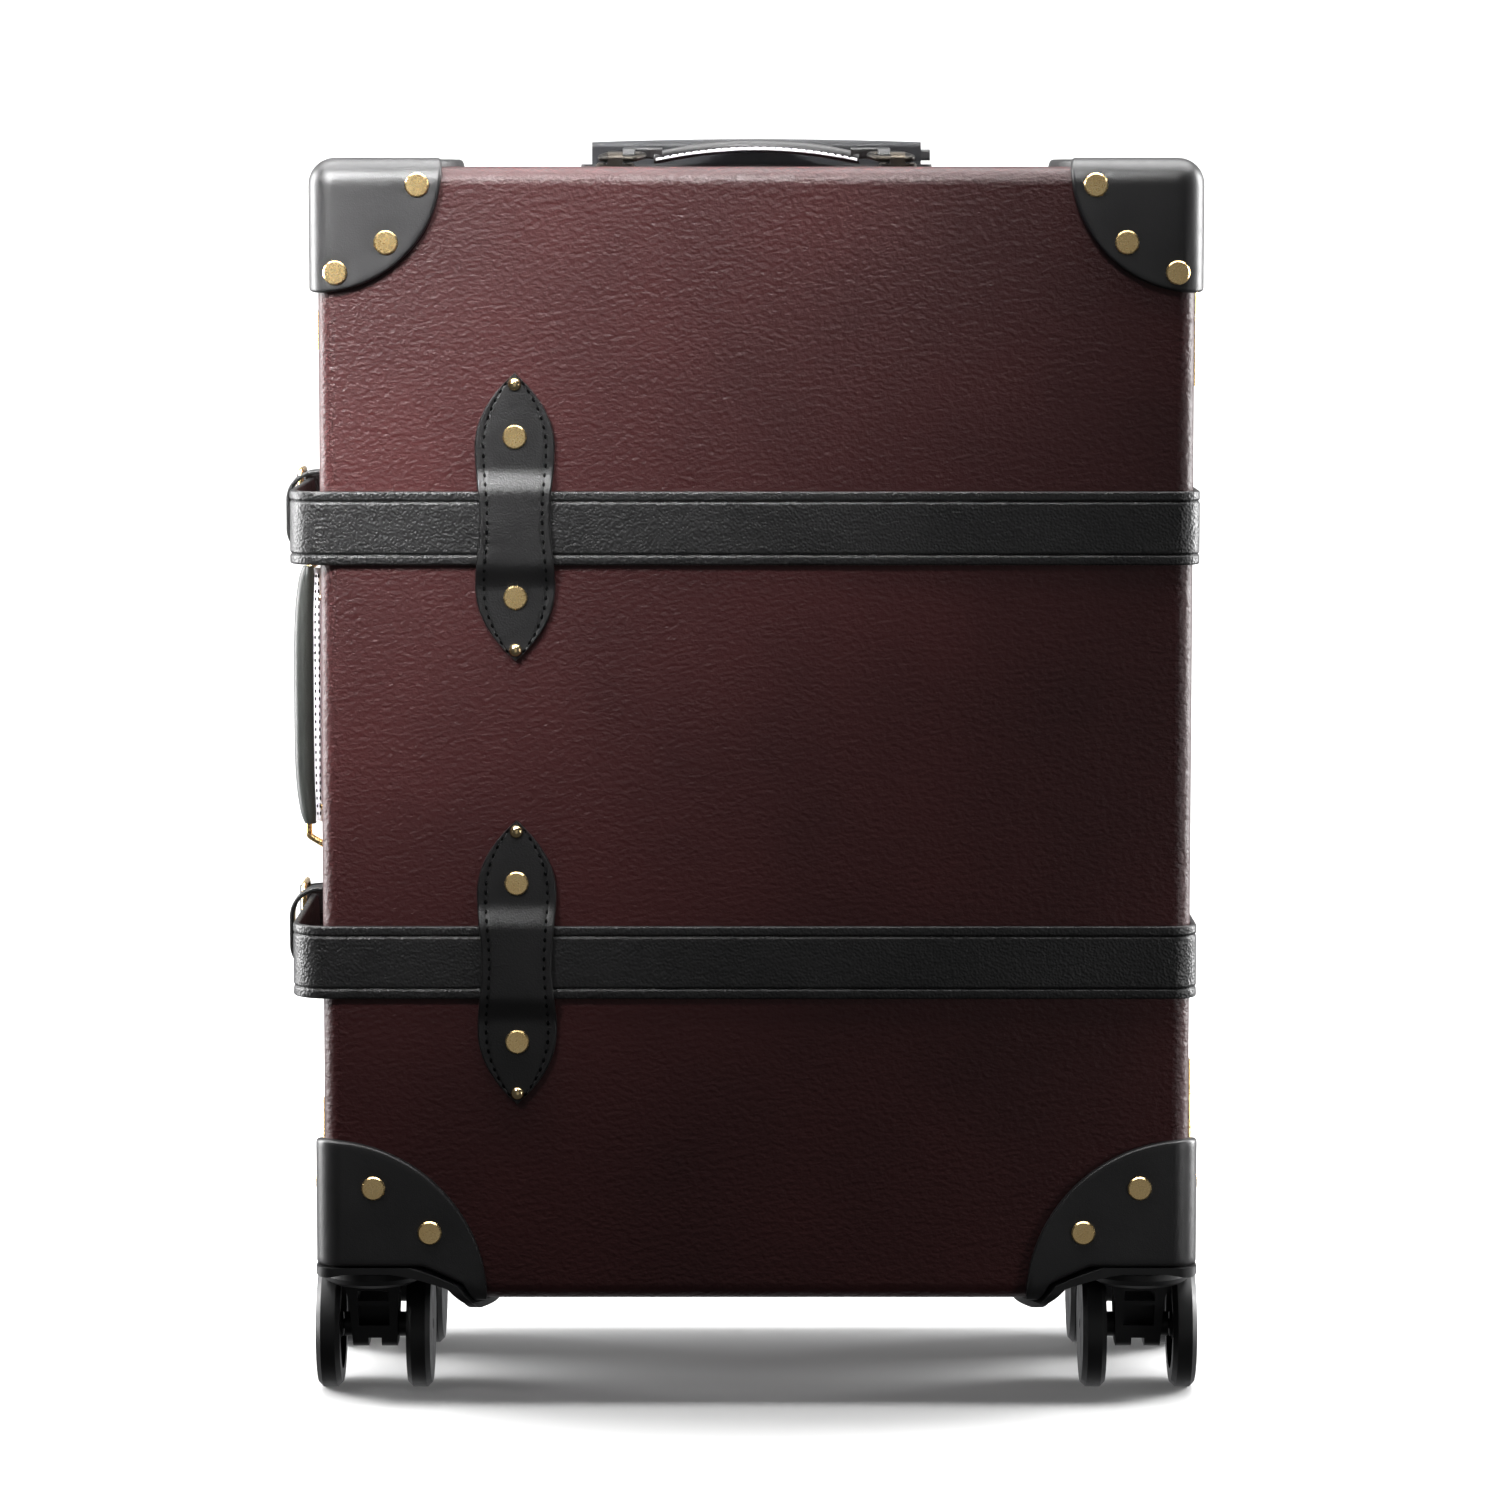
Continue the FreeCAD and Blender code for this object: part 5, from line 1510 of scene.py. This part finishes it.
@dataclass
class LiningTray:
    """The cloth lining of one half: floor and walls in one, lifted over the caster domes, with piping."""

    sizes: CaseSizes
    side: Side
    corner: float = 9.0
    thick: float = 1.1
    piping: float = 1.3
    dome_gap: float = 5.0

    def rim(self, low: Array, high: Array) -> Array:
        """The tray's outline in X and Z, with points close together.

        Args:
            low: Lowest corner of the lining.
            high: Highest corner.

        Returns:
            Points of shape (count, 2).
        """
        corners = [(low[0], low[2]), (high[0], low[2]), (high[0], high[2]), (low[0], high[2])]
        path = rounded_path(corners, [self.corner] * 4, True)
        closed = np.vstack([path, path[:1]])
        return spread_along(closed, np.linspace(0.0, path_marks(closed)[-1], 420, endpoint=False))[0]

    def lifted(self, points: Array) -> Array:
        """Points raised over the caster domes: z = max(z, bottom + dome + gap).

        Args:
            points: Points of the tray.

        Returns:
            The raised points.
        """
        pocket = CasterPocket.at(CaseCorner(self.sizes, 1, self.side, False))
        across = self.sizes.half_width - np.abs(points[..., 0])
        dome = pocket.rise(across, self.sizes.half_depth - np.abs(points[..., 1]))
        height = points[..., 2]
        raised = np.maximum(height, self.sizes.bottom + dome + self.dome_gap)
        return point_grid(points[..., 0], points[..., 1], np.where(dome > -0.9, raised, height))

    def build(self) -> None:
        """Make the tray and its piping."""
        name = "lid_lining" if self.side is Side.FRONT else "base_lining"
        sign, body = self.side.value, self.side.body
        low, high = node_box(name)
        inset = self.thick / 2.0 + 0.1
        outline = self.rim(low + inset, high - inset)
        hem, floor = sorted((low[1], high[1]), key=abs)
        floor -= sign * inset
        middle = outline.mean(axis=0)
        shrink = runs((0.02, 0.6, 12), (0.64, 0.985, 22))
        bottom = middle + shrink[:, None, None] * (outline - middle)
        walls = np.linspace(floor - sign * 3.0, hem, 24)[:, None]
        grid = self.lifted(np.vstack([point_grid(bottom[..., 0], floor, bottom[..., 1]),
                                      point_grid(outline[:, 0], walls, outline[:, 1])]))
        rows, count = grid.shape[:2]
        surface = Surface(grid.reshape(-1, 3), grid_faces(rows, count, False) + [tuple(range(count))])
        tray = add_piece(f"{name}_cloth", surface, LINING, body, Slot.CLOTH, (name,))
        shell = tray.modifiers.new("cloth_thickness", "SOLIDIFY")
        shell.thickness = self.thick * METRES_PER_MM
        shell.offset = 0.0
        add_piece(f"{name}_piping", tube(grid[-1], self.piping, 8, Y_AXIS), BRIDLE_LEATHER, body, Slot.CLOTH)


@dataclass
class Fixings:
    """Rivets, nails and pins, gathered by kind and body; profiles are (radius, height) pairs."""

    rivet: tuple = ((5.1, -0.6), (5.4, -0.1), (5.4, 0.85), (4.8, 1.5), (0.4, 1.5))
    nail: tuple = ((2.7, -0.6), (3.0, -0.1), (3.0, 0.4), (2.75, 1.1), (2.25, 1.65), (1.5, 2.05), (0.7, 2.2),
                   (0.1, 2.24))
    pin: tuple = ((2.1, -0.3), (2.3, 0.0), (2.15, 0.4), (1.6, 0.75), (0.8, 0.92), (0.1, 0.95))
    hinge_half: float = 24.0
    hinge_pitch: float = 17.0
    hinge_leaf: float = 1.6
    hinge_line: float = 0.68
    spots: dict = field(default_factory=dict)

    def add(self, kind: str, spots: Sequence[RivetSpot]) -> None:
        """Note places for one kind of fixing."""
        for spot in spots:
            self.spots.setdefault((kind, spot.body), []).append(spot)

    def hinge_spots(self) -> list[RivetSpot]:
        """Three screws in each hinge leaf, on a line between the barrel and the leaf's far edge.

        Returns:
            The spots.
        """
        found = []
        for node, body in (("hinge_leaves_base", Body.BASE), ("hinge_leaves_lid", Body.LID)):
            low, high = node_box(node)
            far = high[1] if body is Body.BASE else low[1]
            middles = (high[2] - self.hinge_half, low[2] + self.hinge_half)
            for height in (middle + step * self.hinge_pitch for middle in middles for step in (-1, 0, 1)):
                origin = np.array([low[0] + self.hinge_leaf, far * self.hinge_line, height])
                found.append(RivetSpot(origin, X_AXIS, body))
        return found

    def build(self) -> None:
        """Make one piece for each kind and body, with each fixing's Z turned to its spot's normal."""
        kinds = {"rivets": (self.rivet, 40, BRASS), "nails": (self.nail, 24, BRASS_NAIL),
                 "pins": (self.pin, 20, BRASS), "dark_pins": (self.pin, 20, LACQUER)}
        self.add("pins", self.hinge_spots())
        for (kind, body), spots in self.spots.items():
            profile, count, finish = kinds[kind]
            normals = np.array([spot.normal for spot in spots])
            across = unit(np.cross(np.where(np.abs(normals[:, 2:]) > 0.9, X_AXIS, Z_AXIS), normals))
            axes = np.stack([across, np.cross(normals, across), normals], axis=1)
            surface = copies(turned(profile, count), np.array([spot.origin for spot in spots]), axes)
            add_piece(f"{body.value}_{kind}", surface, finish, body, Slot.BRASS)


# Dressing, studio and the whole case


@dataclass(frozen=True)
class Dressing:
    """Finishes for the frame's own nodes, chosen by the start of their names."""

    rules: tuple = (
        ("base_shell", FIBREBOARD), ("lid_shell", FIBREBOARD), ("base_rim", RIM_METAL),
        ("front_caster", NYLON), ("rear_caster", NYLON), ("caster_fork", NYLON),
        ("outer_wheel", TREAD), ("inner_wheel", TREAD),
        ("trolley_tray", NYLON), ("trolley_grip", GRIP_PLASTIC), ("grip_release", NYLON),
        ("trolley_cover", BOARD), ("trolley_", ALUMINIUM), ("lock_", BRASS), ("hinge_", BRASS),
        ("buckle_prong", BRASS), ("side_handle_mounts", BRASS), ("top_handle_mounts", LACQUER),
    )

    def build(self) -> None:
        """Smooth every node's mesh and give it the first finish whose name start fits."""
        for name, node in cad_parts.items():
            mesh = node.data
            shade_smooth(mesh)
            finish = next((made for start, made in self.rules if name.startswith(start)), BRIDLE_LEATHER)
            mesh.materials.clear()
            mesh.materials.append(finish.material())
            LOG.info("%s: %s", name, finish.name)


@dataclass
class Studio:
    """White sweep, softboxes and the camera at the photograph's place.

    Each light is its name, place, aim, size in metres, power in watts and beam width in degrees.
    """

    eye: tuple[float, float, float] = (0.0, -2.6, 0.5551)
    pitch: float = 5.8
    lens: float = 134.16
    shift: float = -0.0043
    front_air: float = 0.05
    back_air: float = 0.5
    air_colour: tuple = (0.98, 0.985, 1.0, 1.0)
    front_edge: float = -0.4
    back_edge: float = 2.0
    half_floor: float = 1.7
    bend: float = 1.2
    lights: tuple = (
        ("front_card", (0.0, -2.75, 0.1), (0.0, 0.0, 0.1), (1.0, 1.6), 1.3, 180.0),
        ("key_softbox", (-0.45, -0.52, 0.85), (-0.28, -0.1, 0.54), (0.26, 0.36), 1.8, 36.0),
        ("upper_beam", (0.05, -0.9, 1.3), (-0.05, -0.1, 0.63), (0.2, 0.2), 0.9, 26.0),
        ("right_fill", (0.8, -0.6, 0.24), (0.2, -0.1, 0.22), (0.25, 0.4), 0.14, 34.0),
        ("left_strip", (-1.5, 0.35, 0.6), (-0.2, 0.0, 0.3), (0.7, 1.4), 70.0, 180.0),
        ("right_strip", (1.6, 0.45, 0.6), (0.2, 0.0, 0.3), (0.6, 1.4), 68.0, 180.0),
        ("top_bank", (0.0, -0.05, 2.0), (0.0, -0.05, 0.0), (2.6, 1.2), 84.0, 180.0),
        ("backdrop_wash", (0.0, 1.0, 2.6), (0.0, 3.2, 0.6), (4.0, 1.0), 215.0, 180.0),
    )

    def sweep(self) -> None:
        """The floor and a low backdrop: a level run that bends up at the back on an arc of 70 degrees."""
        flat = np.linspace(self.front_edge, self.back_edge, 20)
        angle = np.radians(np.linspace(5.0, 70.0, 14))
        depth = np.concatenate([flat, self.back_edge + self.bend * np.sin(angle)])[:, None]
        height = np.concatenate([0.0 * flat, self.bend * (1.0 - np.cos(angle))])[:, None]
        points = point_grid(np.linspace(-self.half_floor, self.half_floor, 12), depth, height)
        index = np.arange(len(depth) * 12).reshape(-1, 12)
        quads = np.stack([index[:-1, :-1], index[:-1, 1:], index[1:, 1:], index[1:, :-1]], axis=-1)
        mesh = bpy.data.meshes.new("studio_sweep")
        mesh.from_pydata(points.reshape(-1, 3).tolist(), [], quads.reshape(-1, 4).tolist())
        shade_smooth(mesh)
        mesh.materials.append(SWEEP_PAPER.material())
        floor = bpy.data.objects.new("studio_sweep", mesh)
        bpy.context.scene.collection.objects.link(floor)
        floor.visible_diffuse = False
        floor.visible_glossy = False

    def softbox(self, name: str, place: Sequence[float], aim: Sequence[float], size: tuple[float, float],
                power: float, spread: float) -> None:
        """A rectangular light turned towards a point.

        Args:
            name: The light's name.
            place: Where it stands, in metres.
            aim: What it faces.
            size: Its width and height.
            power: Its strength in watts.
            spread: Width of its beam in degrees.
        """
        light = bpy.data.lights.new(name, "AREA")
        light.shape = "RECTANGLE"
        light.size, light.size_y = size
        light.energy = power
        light.spread = math.radians(spread)
        lamp = bpy.data.objects.new(name, light)
        lamp.location = place
        lamp.rotation_euler = (Vector(aim) - Vector(place)).to_track_quat("-Z", "Y").to_euler()
        bpy.context.scene.collection.objects.link(lamp)

    def air(self) -> None:
        """The room's own light: white behind the case and to the eye, falling to dark in front of it."""
        world = bpy.data.worlds.new("studio_air")
        world.use_nodes = True
        nodes, links = world.node_tree.nodes, world.node_tree.links
        parts = nodes.new("ShaderNodeSeparateXYZ")
        fall = nodes.new("ShaderNodeMapRange")
        seen = nodes.new("ShaderNodeMath")
        seen.operation = "MAXIMUM"
        links.new(nodes.new("ShaderNodeTexCoord").outputs["Generated"], parts.inputs[0])
        links.new(parts.outputs["Y"], fall.inputs[0])
        for index, value in enumerate((-0.05, 0.5, self.front_air, self.back_air), start=1):
            fall.inputs[index].default_value = value
        links.new(fall.outputs[0], seen.inputs[0])
        links.new(nodes.new("ShaderNodeLightPath").outputs["Is Camera Ray"], seen.inputs[1])
        links.new(seen.outputs[0], nodes["Background"].inputs["Strength"])
        nodes["Background"].inputs["Color"].default_value = self.air_colour
        bpy.context.scene.world = world

    def camera(self) -> None:
        """A long lens in front of the case, looking a little down."""
        data = bpy.data.cameras.new("photo_camera")
        data.lens = self.lens
        data.sensor_width = 36.0
        data.shift_x = self.shift
        camera = bpy.data.objects.new("photo_camera", data)
        camera.location = self.eye
        camera.rotation_euler = (math.radians(90.0 - self.pitch), 0.0, 0.0)
        bpy.context.scene.collection.objects.link(camera)
        bpy.context.scene.camera = camera

    def build(self) -> None:
        """Set the world, the sweep, the lights and the camera."""
        bpy.context.scene.view_settings.view_transform = "Standard"
        self.air()
        self.sweep()
        for light in self.lights:
            self.softbox(*light)
        self.camera()


@dataclass
class CarryOnCase:
    """All the leather, brass and cloth that dress the frame."""

    sizes: CaseSizes = field(default_factory=CaseSizes.read)
    fixings: Fixings = field(default_factory=Fixings)
    top_rivets: tuple = ((45.1, 8.1), (31.1, 33.6), (8.4, 47.0))
    bottom_rivets: tuple = ((22.6, 52.1), (48.0, 31.7))
    side_eyes: tuple[float, float] = (5.5, 26.0)
    top_eyes: tuple[float, float] = (30.0, 4.0)
    lean: float = math.radians(78.0)

    def build_belts(self) -> None:
        """Both belts with their loops, keepers and buckles."""
        for name, level in zip(("upper", "lower"), self.sizes.belt_levels):
            Belt(self.sizes, name, level).build()
        for side in Side:
            rivets, nails = LeafLoops(self.sizes, side).build()
            self.fixings.add("rivets", rivets)
            self.fixings.add("nails", nails)
        Keepers(self.sizes).build()
        Buckles(self.sizes).build()

    def build_handles(self) -> None:
        """The side handle, upright between the belts, and the top handle, leant back."""
        low, high = node_box("side_handle_mounts")
        off, deep = self.side_eyes
        origin = (-self.sizes.half_width - off, deep, (float(low[2]) + float(high[2])) / 2.0)
        side_spot = HandleSpot("side_handle", Body.SIDE_HANDLE, origin, Z_AXIS, Y_AXIS, -X_AXIS)
        deep, off = self.top_eyes
        down, back = math.cos(self.lean), math.sin(self.lean)
        top_spot = HandleSpot("top_handle", Body.TOP_HANDLE, (0.0, deep, self.sizes.top + off), X_AXIS,
                              np.array([0.0, down, -back]), np.array([0.0, back, down]))
        straight = CarryHandle(side_spot, HANDLE_LEATHER, BRASS, span=60.5, rise=16.6, breadth=9.0, fin=1.6,
                               roll=4.9, end_low=3.6, end_high=12.6, curve=4.0, ends=(57.4, 64.6))
        arched = CarryHandle(top_spot, BRIDLE_LEATHER, LACQUER, span=66.0, rise=34.0, breadth=6.0, fin=0.45,
                             droop=2.4)
        self.fixings.add("pins", straight.build())
        self.fixings.add("dark_pins", arched.build())

    def build(self) -> None:
        """Make every piece."""
        for side in Side:
            top = CornerCaps(self.sizes, side, True, self.top_rivets)
            bottom = CornerCaps(self.sizes, side, False, self.bottom_rivets)
            self.fixings.add("rivets", top.build() + bottom.build())
            LiningTray(self.sizes, side).build()
        self.build_belts()
        self.build_handles()
        self.fixings.build()


def main() -> None:
    """Dress the frame, add the new pieces and set the studio."""
    logging.basicConfig(level=logging.INFO, format="%(message)s")
    Dressing().build()
    CarryOnCase().build()
    Studio().build()
    bpy.context.view_layer.update()


if __name__ == "__main__":
    main()
